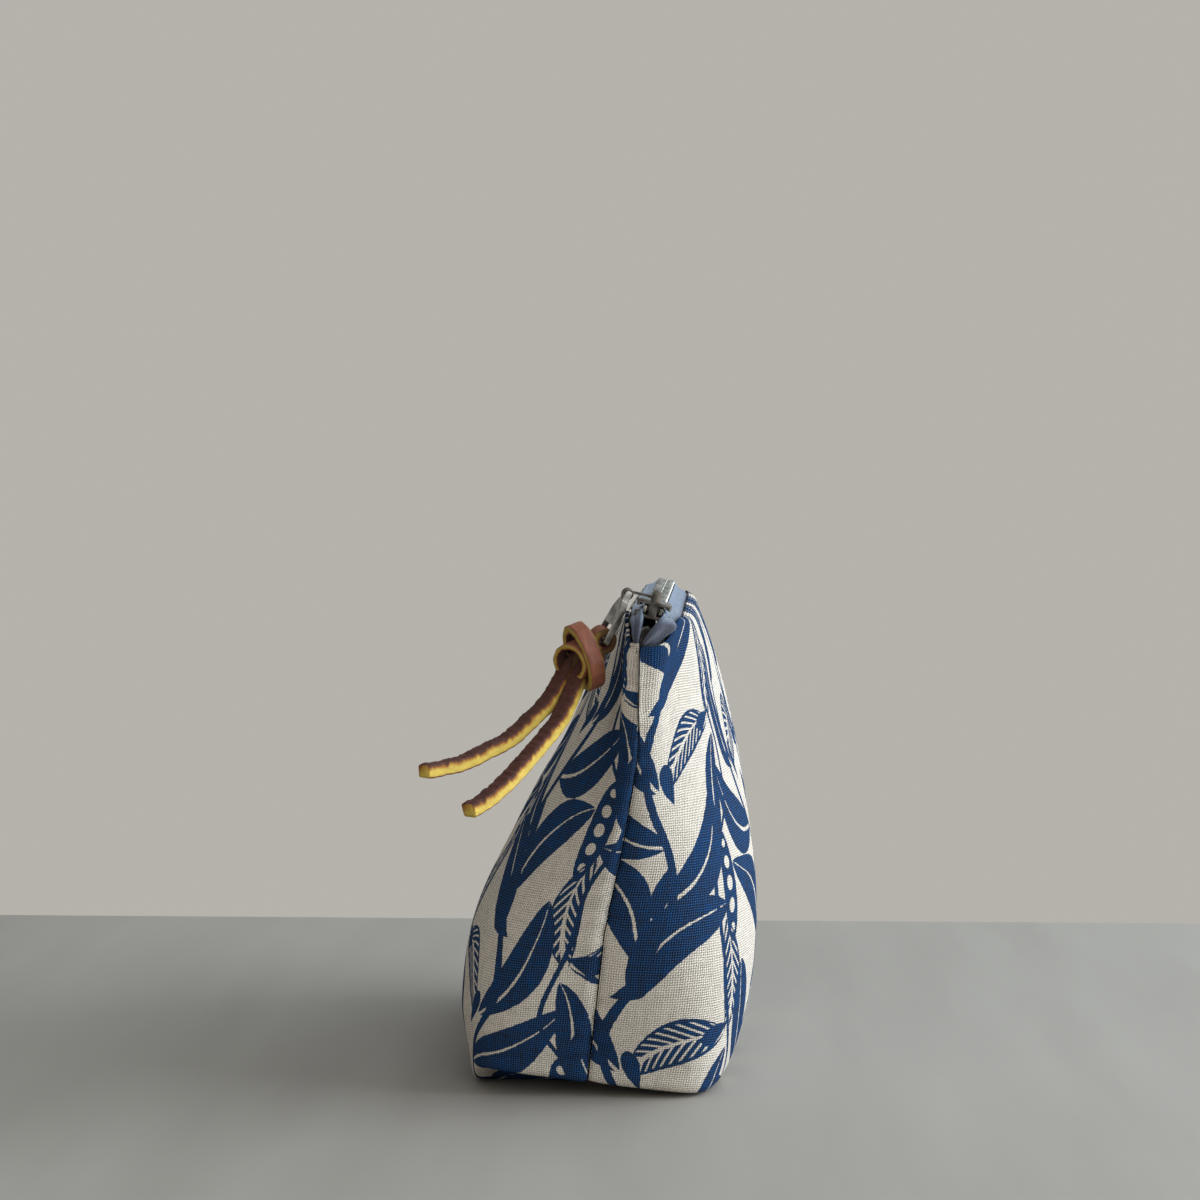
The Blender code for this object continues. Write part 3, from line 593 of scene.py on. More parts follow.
def new_piece(name, points, faces, corner_uv, materials, face_material=None, smooth=True):
    """A mesh piece at the origin, from arrays of points, quads and the UV of each quad's corners."""
    points = np.asarray(points, dtype=np.float32).reshape(-1, 3)
    faces = np.asarray(faces, dtype=np.int32).reshape(-1, 4)
    mesh = bpy.data.meshes.new(name)
    mesh.vertices.add(len(points))
    mesh.vertices.foreach_set("co", points.ravel())
    mesh.loops.add(len(faces) * 4)
    mesh.loops.foreach_set("vertex_index", faces.ravel())
    mesh.polygons.add(len(faces))
    mesh.polygons.foreach_set("loop_start", np.arange(0, len(faces) * 4, 4, dtype=np.int32))
    layer = mesh.uv_layers.new(name="Cloth")
    layer.uv.foreach_set("vector", np.asarray(corner_uv, dtype=np.float32).ravel())
    for material in materials:
        mesh.materials.append(material)
    if face_material is not None:
        mesh.polygons.foreach_set("material_index", np.asarray(face_material, dtype=np.int32).ravel())
    mesh.polygons.foreach_set("use_smooth", np.full(len(faces), smooth))
    mesh.update()
    if mesh.validate():
        raise RuntimeError(name + " has bad faces")
    piece = bpy.data.objects.new(name, mesh)
    bpy.context.scene.collection.objects.link(piece)
    return piece


def outward(points, towards):
    """Unit normals of a grid of points, turned to the side that towards points to at its middle."""
    normal = np.cross(np.gradient(points, axis=1), np.gradient(points, axis=0))
    normal /= np.maximum(np.linalg.norm(normal, axis=2, keepdims=True), 1e-12)
    middle = normal[normal.shape[0] // 2, normal.shape[1] // 2]
    return normal * np.sign(np.dot(middle, towards))


def smooth_step(value):
    """A soft step from 0 to 1: three times the square less twice the cube."""
    value = np.clip(value, 0.0, 1.0)
    return value ** 2 * (3.0 - 2.0 * value)


def bell(place, width, centre=0.0):
    """A bell curve: e to the power of minus the square of the distance over the width."""
    return np.exp(-((place - centre) / width) ** 2)


def through(rows, k):
    """A curve through rows of numbers, at places k that count the rows from 0.

    Between two rows it is a cubic that leaves each one along half the line between its neighbours.
    """
    i = np.minimum(k.astype(int), len(rows) - 2)
    t = (k - i).reshape((-1,) + (1,) * (rows.ndim - 1))
    before, start, end, after = (rows[np.clip(i + j, 0, len(rows) - 1)] for j in (-1, 0, 1, 2))
    return 0.5 * (2 * start + (end - before) * t + (2 * before - 5 * start + 4 * end - after) * t ** 2
                  + (3 * start - before - 3 * end + after) * t ** 3)


def level_at(height):
    """The row of sizes at a height, on a smooth curve through the rows of LEVELS."""
    curve = through(LEVELS, np.linspace(0, len(LEVELS) - 1, 1801))[::-1]
    return np.array([height] + [np.interp(height, curve[:, 0], curve[:, c]) for c in range(1, 10)])


def half_row(height, side, shares):
    """Half of the pouch's outline at a height, from the seam at +X to the seam at -X.

    A superellipse: X is the half length times a power of the cosine, Y the reach times a power
    of the sine, and the points stand at the given shares of its length.
    """
    z, half, seam, shift, front, back, end_power, side_power, _, pinch = level_at(height)
    reach = front if side < 0 else back
    turn = np.linspace(0, np.pi, 1441)
    across = np.cos(turn)
    x = half * np.sign(across) * np.abs(across) ** (2 / end_power)
    y = reach * (1 - pinch * (x / half) ** 2) * np.sin(turn) ** (2 / side_power)
    along = np.concatenate([[0], np.cumsum(np.hypot(np.diff(x), np.diff(y)))])
    wanted = shares * along[-1]
    x = np.interp(wanted, along, x)
    y = np.interp(wanted, along, y)
    return np.stack([x, seam + shift * (1 - np.abs(x / half) ** 16) + side * y, np.full(len(x), z)], 1)


def settle(points, height, side):
    """Drop the mouth towards its ends, tilt it, and lift the ends of the base.

    The drop and the lift are soft steps of X over the half length, and the tilt is a share of the
    distance from the middle in Y that grows with the square of the height near the mouth.
    """
    row = level_at(height)
    x, y, z = points.T
    near_end = smooth_step((np.abs(x) / row[1] - 0.84) / 0.16)
    tilt = MOUTH_TILT * np.clip((height - 0.105) / 0.032, 0, 1) ** 2 * (1 - near_end)
    away = np.clip(side * (y - row[2]) / row[4 if side < 0 else 5], 0, 1)
    corner = FRONT_CORNER_LIFT if side < 0 else 0.0
    lift = (SEAM_LIFT + (corner - SEAM_LIFT) * away) * smooth_step(1 - z / LIFT_HEIGHT)
    lift = lift * smooth_step((np.abs(x) / row[1] - 0.72) / 0.28)
    z = z - row[8] * near_end - tilt * (y - row[2] - row[3]) + lift
    return np.stack([x, y, z], 1)


def slack_of(u, v, side):
    """Soft dents: a sum of slow waves over the flat cloth, from about -1 to 1."""
    waves = ((41.0, 0.6, 1.3), (63.0, -0.5, 4.1), (83.0, 1.1, 2.2), (29.0, -1.0, 0.4), (119.0, 0.3, 5.2))
    total = np.zeros(np.broadcast(u, v).shape)
    for count, slant, phase in waves:
        place = u * np.cos(slant) + v * np.sin(slant)
        total = total + np.sin(count * place + phase * (1 + 0.7 * side)) / len(waves)
    return total * 1.8


def panel(name, side, depth, rows, ends, front, thickness, material, sizes, detailed):
    """One half of the pouch as cloth: a wall from seam to seam, turned in under the base.

    Rows follow the outline at falling heights, closer together at the mouth and the base. The
    base is a grid between the two ends of the lowest row. Soft dents and seam puckers move each
    point along the surface's normal.
    """
    top = LEVELS[0, 0] if detailed else LINING_TOP
    t = np.linspace(0, 1, rows)
    heights = top * (1 - (0.5 - 0.5 * np.cos(np.pi * t)) * 0.6 - t * 0.4)
    heights[-1] = 0.0
    shares = np.concatenate([np.linspace(0, END_SHARE, ends + 1),
                             np.linspace(END_SHARE, 1 - END_SHARE, front + 1)[1:],
                             1 - np.linspace(0, END_SHARE, ends + 1)[-2::-1]])
    flat_rows = [half_row(h, side, shares) for h in heights]
    wall = np.stack([settle(r, h, side) for r, h in zip(flat_rows, heights)])
    columns = wall.shape[1]
    steps = np.linalg.norm(np.diff(wall, axis=0), axis=2).mean(1)
    v = np.concatenate([[0], np.cumsum(steps)])
    u = (shares - 0.5) * CLOTH_WIDTH
    # base rows, from beside the front edge to the seam
    lowest = flat_rows[-1]
    edge = lowest[ends:columns - ends]
    seam = level_at(0.0)[2]
    share = (edge[:, 0] - edge[-1, 0]) / (edge[0, 0] - edge[-1, 0])
    base = []
    for j in range(ends, -1, -1):
        left, right = lowest[j], lowest[columns - 1 - j]
        part = (left[1] - seam) / (edge[0, 1] - seam)
        x = right[0] + (left[0] - right[0]) * share
        base.append(settle(np.stack([x, seam + (edge[:, 1] - seam) * part, np.zeros(len(x))], 1), 0.0, side))
    base = np.stack(base)
    base_v = v[-1] + np.abs(base[:, len(edge) // 2, 1] - base[0, len(edge) // 2, 1])
    normal = outward(wall, (0, side, 0))
    from_seam = np.minimum(shares, 1 - shares) * CLOTH_WIDTH
    uu, vv = np.meshgrid(u, v)
    to_floor = smooth_step(wall[:, :, 2] / 0.02)
    move = np.zeros(wall.shape[:2]) - depth
    if detailed:
        # the front's edge stands proud and the back slopes into the seam; both roll in at the mouth
        high = smooth_step((heights - ROLL_START) / ROLL_SPAN)[:, None]
        reach = SEAM_REACH[side] * (1 - high) + SEAM_REACH_AT_MOUTH * high
        near = bell(from_seam[None, :], reach) * (1 + high)
        pucker = np.sin(vv * PUCKERS_PER_METRE + 2.0 * np.sin(vv * 150 + side))
        pucker = pucker * bell(from_seam, PUCKER_REACH)[None, :]
        in_from_edge = smooth_step(from_seam / CALM_EDGE)[None, :]
        move += -sizes.seam_depth * near + PUCKER_HEIGHT * pucker
        if side < 0:
            # a low ridge beside the front's seam
            move += RIDGE_HEIGHT * bell(from_seam[None, :], RIDGE_WIDTH, RIDGE_PLACE) * (1 - high)
        dents = slack_of(uu, vv, side) * (0.25 + 0.75 * in_from_edge)
        move += sizes.slack * dents * to_floor * smooth_step(vv / CALM_EDGE)
        move += -MOUTH_ROLL * bell(vv, MOUTH_ROLL_REACH)
        # the corners of the mouth bulge, and the front has a lip beside the slider
        upper = smooth_step((heights - 0.098) / 0.020) * (1 - 0.5 * smooth_step((heights - 0.131) / 0.006))
        move += BULGE_HEIGHT[side] * upper[:, None] * bell(from_seam, BULGE_WIDTH, BULGE_PLACE)[None, :]
        if side < 0:
            lip = bell(wall[:, :, 0], LIP_WIDTH, LIP_PLACE) * smooth_step((heights - 0.119) / 0.012)[:, None]
            move += LIP_HEIGHT * lip
    wall = wall + normal * (move * (0.2 + 0.8 * to_floor) if detailed else move)[:, :, None]
    base[:, :, 2] += depth
    if detailed:
        wall[-1, ends:columns - ends] = base[0]
    points = [wall.reshape(-1, 3)]
    faces = [grid_faces(rows, columns)]
    uv = np.stack([uu, -vv], -1).reshape(-1, 2)
    corner_uv = [uv[faces[0]].reshape(-1, 2)]
    # number the base's points, sharing the wall's lowest row
    number = np.zeros(base.shape[:2], dtype=int)
    number[0] = (rows - 1) * columns + np.arange(ends, columns - ends)
    total = rows * columns
    inner = base.shape[1] - 2
    for j in range(1, ends + 1):
        number[j, 0] = (rows - 1) * columns + ends - j
        number[j, -1] = (rows - 1) * columns + columns - 1 - ends + j
        number[j, 1:-1] = total + np.arange(inner)
        total += inner
        points.append(base[j, 1:-1])
    local = grid_faces(ends + 1, base.shape[1])
    faces.append(number.ravel()[local])
    base_u, base_w = np.meshgrid(u[ends:columns - ends], base_v)
    corner_uv.append(np.stack([base_u, -base_w], -1).reshape(-1, 2)[local].reshape(-1, 2))
    points = np.concatenate(points)
    faces = np.concatenate(faces)
    corner_uv = np.concatenate(corner_uv)
    if side > 0:
        faces = faces[:, ::-1]
        corner_uv = corner_uv.reshape(-1, 4, 2)[:, ::-1].reshape(-1, 2)
    piece = new_piece(name, points, faces, corner_uv, [material])
    look = piece.data.polygons[(rows // 2) * (columns - 1) + columns // 2].normal.y * side
    if look < 0:
        piece.data.flip_normals()
    shell = piece.modifiers.new("Thickness", "SOLIDIFY")
    shell.thickness = thickness
    shell.offset = -1.0
    with bpy.context.temp_override(object=piece, active_object=piece):
        bpy.ops.object.modifier_apply(modifier=shell.name)
    # both side edges and the base edge lie flat against the seam
    co = np.zeros(len(piece.data.vertices) * 3, dtype=np.float32)
    piece.data.vertices.foreach_get("co", co)
    co = co.reshape(-1, 3)
    limit = np.interp(co[:, 2], LEVELS[::-1, 0], LEVELS[::-1, 2]) + side * SEAM_GAP / 2
    co[:, 1] = side * np.maximum(side * co[:, 1], side * limit)
    piece.data.vertices.foreach_set("co", co.ravel())
    piece.data.update()
    return piece


def rolled(y, z):
    """A place in the zip's own tilted plane, as Y and Z of the pouch."""
    return (ZIP_Y + y * math.cos(ZIP_ROLL) - z * math.sin(ZIP_ROLL),
            ZIP_Z + y * math.sin(ZIP_ROLL) + z * math.cos(ZIP_ROLL))


def zip_tape(name, side, thickness, material):
    """A woven strip beside the teeth that turns down inside the linen's edge.

    Each cross section is a smooth curve through six places: three on the flat beside the teeth
    and three inside the linen. Past the slider's mouth the flat part follows two curves down to
    the seam's top, and rolls of half sines between them stand out towards the zip's end.
    """
    shares = np.concatenate([np.linspace(0.012, 0.085, 44), np.linspace(0.085, 0.915, 150)[1:-1],
                             np.linspace(0.915, 0.988, 44)])
    inside = []
    for height in TAPE_HEIGHTS:
        upper = settle(half_row(height + 0.0004, side, shares), height + 0.0004, side)
        lower = settle(half_row(height - 0.0004, side, shares), height - 0.0004, side)
        row = (upper + lower) / 2
        normal = np.cross(np.gradient(row, axis=0), lower - upper)
        normal = unit(normal) * np.sign(normal[len(row) // 2, 1] * side)
        if not inside:
            x = row[:, 0] - normal[:, 0] * TAPE_CLEARANCE
        in_from_seam = np.minimum(shares, 1 - shares) * CLOTH_WIDTH
        behind = TAPE_CLEARANCE + TAPE_END_CLEARANCE * bell(in_from_seam, TAPE_END_REACH)
        row = row - normal * behind[:, None]
        # each tape stays on its own side of the seam
        seam = level_at(height)[2]
        row[:, 1] = seam + side * np.maximum(side * (row[:, 1] - seam), TAPE_SEAM_GAP)
        inside.append(row)
    past = np.clip((np.abs(x) - TAPE_STRAIGHT) / (np.abs(x).max() - TAPE_STRAIGHT), 0, 1)
    flat = []
    for reach, ends in ((TAPE_INNER, TAPE_INNER_END), (TAPE_FLAT, TAPE_FLAT_END)):
        y, z = rolled(side * reach, 0.0)
        # the outer edge of the flat part lies lower, most of all near its ends
        sag = TAPE_SAG[side] + TAPE_END_SAG * smooth_step((np.abs(x) - 0.070) / 0.0275)
        sag = sag * (reach > TAPE_INNER)
        down = [(TAPE_STRAIGHT, y, z - np.max(sag))] + [(end[0], end[1] + side * end[2], end[3]) for end in ends]
        curve = smooth_path(down, 200)
        share = np.linspace(0, 1, 200)
        straight = np.stack([x, np.full(len(x), y), z - sag], 1)
        fall = np.stack([np.sign(x) * np.interp(past, share, curve[:, 0]), np.interp(past, share, curve[:, 1]),
                         np.interp(past, share, curve[:, 2])], 1)
        flat.append(np.where(past[:, None] > 0, fall, straight))
    # beyond the bottom stop the inner edge closes up to the middle between the tapes
    centre = smooth_path([(TAPE_STRAIGHT, ZIP_Y, ZIP_Z)] + [(end[0], end[1], end[3]) for end in TAPE_INNER_END], 200)
    centre_y = np.where(past > 0, np.interp(past, share, centre[:, 1]), ZIP_Y)
    flat[0][:, 1] += (centre_y - flat[0][:, 1]) * 0.85 * smooth_step((-x - 0.0925) / 0.0045)
    control = np.stack([flat[0], (flat[0] + flat[1]) / 2, flat[1]] + inside)
    k = np.linspace(0, len(control) - 1, 51)
    points = through(control, k)
    lobes = 1 if side > 0 else 2
    roll = np.abs(np.sin(np.clip(k / 2.4, 0, 1) * np.pi * lobes))[:, None] ** 0.8
    roll = roll * (smooth_step(past / 0.35) * smooth_step((1 - past) / 0.35))[None, :]
    points[:, :, 0] += np.sign(x)[None, :] * roll * 0.0013
    faces = grid_faces(len(k), len(x))
    width = np.concatenate([[0], np.cumsum(np.linalg.norm(np.diff(points, axis=0), axis=2).mean(1))])
    uu, vv = np.meshgrid(x, width)
    uv = np.stack([uu, vv], -1).reshape(-1, 2)
    piece = new_piece(name, points, faces, uv[faces].reshape(-1, 2), [material])
    shell = piece.modifiers.new("Thickness", "SOLIDIFY")
    shell.thickness = thickness
    shell.offset = 0.0
    return piece


def rounded_block(half, power, across=8, around=8):
    """A block with soft edges: a sphere's points with each coordinate raised to a power.

    Cosines and sines of the two angles keep their sign and take the power, so a power near 0
    gives a box and 1 gives an ellipsoid.
    """
    def bent(value):
        return np.sign(value) * np.abs(value) ** power
    turn = np.linspace(0, 2 * np.pi, around, endpoint=False) + np.pi / around
    rise = np.linspace(-np.pi / 2, np.pi / 2, across)
    a, b = np.meshgrid(turn, rise)
    points = np.stack([half[0] * bent(np.cos(b)) * bent(np.cos(a)),
                       half[1] * bent(np.cos(b)) * bent(np.sin(a)),
                       half[2] * bent(np.sin(b))], -1)
    return points.reshape(-1, 3), grid_faces(across, around, wrap=True)


def teeth_row(name, side, material):
    """One row of metal teeth at an even pitch, each a soft-edged block on the tape with a nib at its tip."""
    body, body_faces = rounded_block(TOOTH_HALF, 0.28)
    nib, nib_faces = rounded_block(NIB_HALF, 0.6, 6, 8)
    body = body + (0, side * TOOTH_OFFSET, 0)
    nib = nib + (0, -side * 0.00005, 0)
    one = np.concatenate([body, nib])
    one_faces = np.concatenate([body_faces, nib_faces + len(body)])
    start = CHAIN_START + (TOOTH_PITCH / 2 if side > 0 else 0.0) + TOOTH_PITCH / 4
    x = start + TOOTH_PITCH * np.arange(TOOTH_COUNT)
    points = one[None] + np.stack([x, 0 * x, 0 * x], 1)[:, None]
    faces = one_faces[None] + (np.arange(TOOTH_COUNT) * len(one))[:, None, None]
    points = points.reshape(-1, 3)
    y, z = rolled(points[:, 1], points[:, 2])
    faces = faces.reshape(-1, 4)
    return new_piece(name, np.stack([points[:, 0], y, z], 1), faces, np.zeros((len(faces) * 4, 2)), [material])


def smooth_path(points, count):
    """Evenly spaced places on a smooth curve through the given points."""
    fine = through(np.array(points, dtype=float), np.linspace(0, len(points) - 1, 600))
    along = np.concatenate([[0], np.cumsum(np.linalg.norm(np.diff(fine, axis=0), axis=1))])
    wanted = np.linspace(0, along[-1], count)
    return np.stack([np.interp(wanted, along, fine[:, c]) for c in range(fine.shape[1])], 1)


def lace_section(width, thickness, per_side=6):
    """An oblong with softened corners, and which face each of its stretches belongs to.

    Faces: 0 the smooth side (out along the second axis), 1 the rough side, 2 the cut edges.
    """
    half_w, half_t, soft = width / 2, thickness / 2, thickness * 0.12
    corners = [(-half_w, -half_t), (half_w, -half_t), (half_w, half_t), (-half_w, half_t)]
    owners = (1, 2, 0, 2)
    points, owner = [], []
    for i, corner in enumerate(corners):
        a = np.array(corner)
        b = np.array(corners[(i + 1) % 4])
        way = (b - a) / np.linalg.norm(b - a)
        for s in np.linspace(0, 1, per_side, endpoint=False):
            points.append(a + way * soft + (b - a - 2 * way * soft) * s)
            owner.append(owners[i])
        points.append(b - way * soft)
        owner.append(owners[i])
    return np.array(points), np.array(owner)


def strap(name, centres, normals, widthways, materials, closed, thickness=LACE_THICKNESS, nap=0.0):
    """The lace's section carried along a path, with its width and its smooth side's direction given.

    Slow sines of the length swell it by LACE_WEAR, and random tufts raise its rough side by the nap.
    """
    section, owner = lace_section(LACE_WIDTH, thickness)
    count, around = len(centres), len(section)
    along = np.concatenate([[0], np.cumsum(np.linalg.norm(np.diff(centres, axis=0), axis=1))])
    swell = 1 + LACE_WEAR / thickness * (np.sin(along * 900)[:, None] + np.sin(along * 2100 + 1.3)[:, None])
    high = section[None, :, 1] * swell
    fray = np.random.default_rng(5).random((count, around)) * (owner == 1) * nap
    high = high - np.minimum(fray, np.roll(fray, 1, axis=1) + nap * 0.3)
    points = (centres[:, None] + widthways[:, None] * section[None, :, :1] + normals[:, None] * high[:, :, None])
    points = points.reshape(-1, 3)
    faces = grid_faces(count + 1 if closed else count, around, wrap=True) % (count * around)
    length = np.append(along, along[-1] + np.linalg.norm(centres[0] - centres[-1])) if closed else along
    # a face's second UV number runs across the lace, or through it on a cut edge, rough side up
    through = -section[:, 1] / thickness * LACE_THICKNESS
    after = np.roll(np.arange(around), -1)
    first = np.where(owner == 2, through, section[:, 0])
    second = np.where(owner == 2, through[after], section[after, 0])
    rows = len(length) - 1
    uv = np.zeros((rows, around, 4, 2))
    uv[:, :, 0, 0] = uv[:, :, 1, 0] = length[:-1, None]
    uv[:, :, 2, 0] = uv[:, :, 3, 0] = length[1:, None]
    uv[:, :, 0, 1] = uv[:, :, 3, 1] = first
    uv[:, :, 1, 1] = uv[:, :, 2, 1] = second
    uv = uv.reshape(-1, 2)
    which = np.tile(owner, rows)
    if not closed:
        # each cut end is a fan of quads from the outline to a point in its middle
        for row, flip in ((0, False), (count - 1, True)):
            ring = row * around + np.arange(around)
            middle = points[ring].mean(0)
            start = len(points)
            points = np.vstack([points, middle + (points[ring] - middle) * 0.5, middle[None]])
            c, d = start + after, start + np.arange(around)
            a, b = ring, ring[after]
            quads = np.stack([a, b, c, d], 1)
            pairs = np.arange(0, around, 2)
            centre = np.full(len(pairs), start + around)
            cap = np.stack([start + pairs, start + pairs + 1, start + (pairs + 2) % around, centre], 1)
            both = np.vstack([quads, cap])
            both = both if flip else both[:, ::-1]
            place = np.vstack([section, section * 0.5, [[0, 0]]])
            # the ends' second place is moved by 0.3 mm into the stain, darkening the cut ends: partly real stain,
            # partly painted shade
            place = np.stack([place[:, 0] + 0.03, -place[:, 1] * 0.4 + 0.0003], 1)
            local = np.where(both < start, both - row * around, both - start + around)
            faces = np.vstack([faces, both])
            uv = np.vstack([uv, place[local.ravel()]])
            which = np.append(which, np.full(len(both), 2))
    return new_piece(name, points, faces, uv, materials, which)


def unit(ways):
    """The same directions with length 1."""
    ways = np.asarray(ways, dtype=float)
    return ways / np.linalg.norm(ways, axis=-1, keepdims=True)


def tail(name, route, materials):
    """One stiff tail along a smooth curve through its route: its width level, its rough side up."""
    path = smooth_path(route, 150)
    tangent = unit(np.gradient(path, axis=0))
    widthways = unit(np.cross(tangent, (0.0, 0.0, 1.0)))
    normals = np.cross(tangent, widthways)
    normals *= -np.sign(normals[:, 2:3])
    return strap(name, path, normals, widthways, materials, False, nap=TAIL_NAP), path


def hoop(name, centre, first_way, first, second_way, second, widthway, thickness, materials, skew):
    """A turn of lace round an oval, its smooth side outward and its rough side inward.

    The path is the centre plus cosine and sine of the turn along the two ways, and it leans along
    the width by the skew times the sine, as a wrapped lace does.
    """
    turn = np.linspace(0, 2 * np.pi, 96, endpoint=False)[:, None]
    first_way, second_way, widthway = unit(first_way), unit(second_way), unit(widthway)
    path = np.array(centre) + first * np.cos(turn) * first_way + second * np.sin(turn) * second_way
    path = path + widthway * skew * np.sin(turn)
    normals = unit(second * np.cos(turn) * first_way + first * np.sin(turn) * second_way)
    return strap(name, path, normals, np.tile(widthway, (len(turn), 1)), materials, True,
                 thickness=thickness, nap=HOOP_NAP)


def twisted(points):
    """The pull's points turned about its length, more and more from its eye to its foot."""
    sin, cos = math.sin(PULL_SWING), math.cos(PULL_SWING)
    ways = np.array([[1.0, 0.0, 0.0], [0.0, cos, sin], [0.0, sin, -cos]])
    a, b, c = ((points - PULL_EYE) @ ways.T).T
    turn = PULL_EXTRA_TWIST * smooth_step((c - 0.0015) / 0.006)
    local = np.stack([a * np.cos(turn) - b * np.sin(turn), a * np.sin(turn) + b * np.cos(turn), c], 1)
    return local @ ways + PULL_EYE


def softened(node, name, material, soft, shape=None):
    """A merged copy of a metal piece, with its edges rounded off."""
    source = bpy.data.objects[node]
    mesh = source.data.copy()
    mesh.transform(source.matrix_world)
    merged = bmesh.new()
    merged.from_mesh(mesh)
    bmesh.ops.remove_doubles(merged, verts=merged.verts, dist=0.000002)
    bmesh.ops.dissolve_limit(merged, angle_limit=math.radians(1.0), verts=merged.verts, edges=merged.edges)
    merged.to_mesh(mesh)
    merged.free()
    if shape:
        points = np.zeros(len(mesh.vertices) * 3)
        mesh.vertices.foreach_get("co", points)
        mesh.vertices.foreach_set("co", shape(points.reshape(-1, 3)).ravel())
    mesh.materials.clear()
    mesh.materials.append(material)
    mesh.polygons.foreach_set("use_smooth", np.ones(len(mesh.polygons), dtype=bool))
    mesh.name = name
    piece = bpy.data.objects.new(name, mesh)
    bpy.context.scene.collection.objects.link(piece)
    bevel = piece.modifiers.new("Soft edges", "BEVEL")
    bevel.width = soft
    bevel.segments = 2
    bevel.limit_method = "ANGLE"
    bevel.angle_limit = math.radians(28.0)
    bevel.harden_normals = True
    return piece


# Operators

def attach(piece, body, node):
    """Tie a finished piece to its body, and hide the CAD node that it stands for."""
    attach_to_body(piece, body)
    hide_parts(node)


class PouchOperator:
    """What the pouch's operators share."""
    bl_options = {"REGISTER", "UNDO"}

    def execute(self, context):
        self.build(context.scene.pouch_sizes, context.scene.pouch_colours)
        return {"FINISHED"}


class POUCH_OT_stage(PouchOperator, bpy.types.Operator):
    """Adds the table, the lights and the camera"""
    bl_idname = "pouch.stage"
    bl_label = "Table, lights and camera"

    def build(self, sizes, colours):
        scene = bpy.context.scene
        camera = bpy.data.objects.new("camera", bpy.data.cameras.new("camera"))
        scene.collection.objects.link(camera)
        cos, sin = math.cos(CAMERA_TURN), math.sin(CAMERA_TURN)
        right = Vector((-sin, cos, 0))
        forward = Vector((-cos * math.cos(CAMERA_TILT), -sin * math.cos(CAMERA_TILT), -math.sin(CAMERA_TILT)))
        camera.location = Vector((cos * CAMERA_DISTANCE, sin * CAMERA_DISTANCE, CAMERA_HEIGHT)) + right * CAMERA_ASIDE
        camera.rotation_mode = "QUATERNION"
        camera.rotation_quaternion = forward.to_track_quat("-Z", "Y")
        camera.data.sensor_width = 36.0
        camera.data.lens = CAMERA_LENS
        scene.camera = camera
        scene.view_settings.view_transform = "Standard"
        table = new_piece("table", np.array([[2.5, -3, 0], [2.5, 3, 0], [TABLE_EDGE_X, 3, 0], [TABLE_EDGE_X, -3, 0]]),
                          np.array([[0, 1, 2, 3]]), np.zeros((4, 2)), [self.table_material()], smooth=False)
        self.room(scene)
        for lamp in LAMPS:
            self.lamp(*lamp)

    @staticmethod
    def room(scene):
        """The room's light: dim and warm from the left, bright and cool from the window on the right."""
        scene.world = bpy.data.worlds.new("room")
        scene.world.use_nodes = True
        room = NodeTree(scene.world.node_tree)
        place = room.node("ShaderNodeTexCoord").outputs["Generated"]
        split = room.node("ShaderNodeSeparateXYZ", None, {0: place})
        rise = room.node("ShaderNodeMapRange", {"interpolation_type": "SMOOTHSTEP"},
                         {"Value": split.outputs["Y"], "From Min": ROOM_FROM, "From Max": ROOM_TO})
        tint = room.node("ShaderNodeMix", {"data_type": "RGBA"}, {0: rise.outputs[0], 6: ROOM_DIM, 7: ROOM_BRIGHT})
        light = room.nodes["Background"]
        room.feed(light.inputs["Color"], tint.outputs[2])
        room.feed(light.inputs["Strength"], ROOM_STRENGTH)
        wall = room.node("ShaderNodeBackground", None, {"Color": WALL})
        path = room.node("ShaderNodeLightPath")
        seen = room.node("ShaderNodeMath", {"operation": "MAXIMUM"},
                         {0: path.outputs["Is Camera Ray"], 1: path.outputs["Is Transmission Ray"]})
        mix = room.node("ShaderNodeMixShader", None,
                        {0: seen.outputs[0], 1: light.outputs[0], 2: wall.outputs[0]})
        room.feed(room.nodes["World Output"].inputs["Surface"], mix.outputs[0])

    @staticmethod
    def table_material():
        finish = Finish("table_top")
        x, y, _ = finish.coordinates("Object")
        grain = finish.noise(finish.point(x * 0.004, y * 0.03), 1.0, 3.0)
        return finish.set(colour=finish.mix(grain, TABLE_DARK, TABLE_LIGHT), rough=0.7)

    @staticmethod
    def lamp(name, place, aim, size, power, colour):
        data = bpy.data.lights.new(name, "AREA")
        data.shape = "DISK"
        data.size = size
        data.energy = power
        data.color = colour
        lamp = bpy.data.objects.new(name, data)
        lamp.location = place
        lamp.rotation_mode = "QUATERNION"
        lamp.rotation_quaternion = (Vector(aim) - Vector(place)).to_track_quat("-Z", "Y")
        bpy.context.scene.collection.objects.link(lamp)


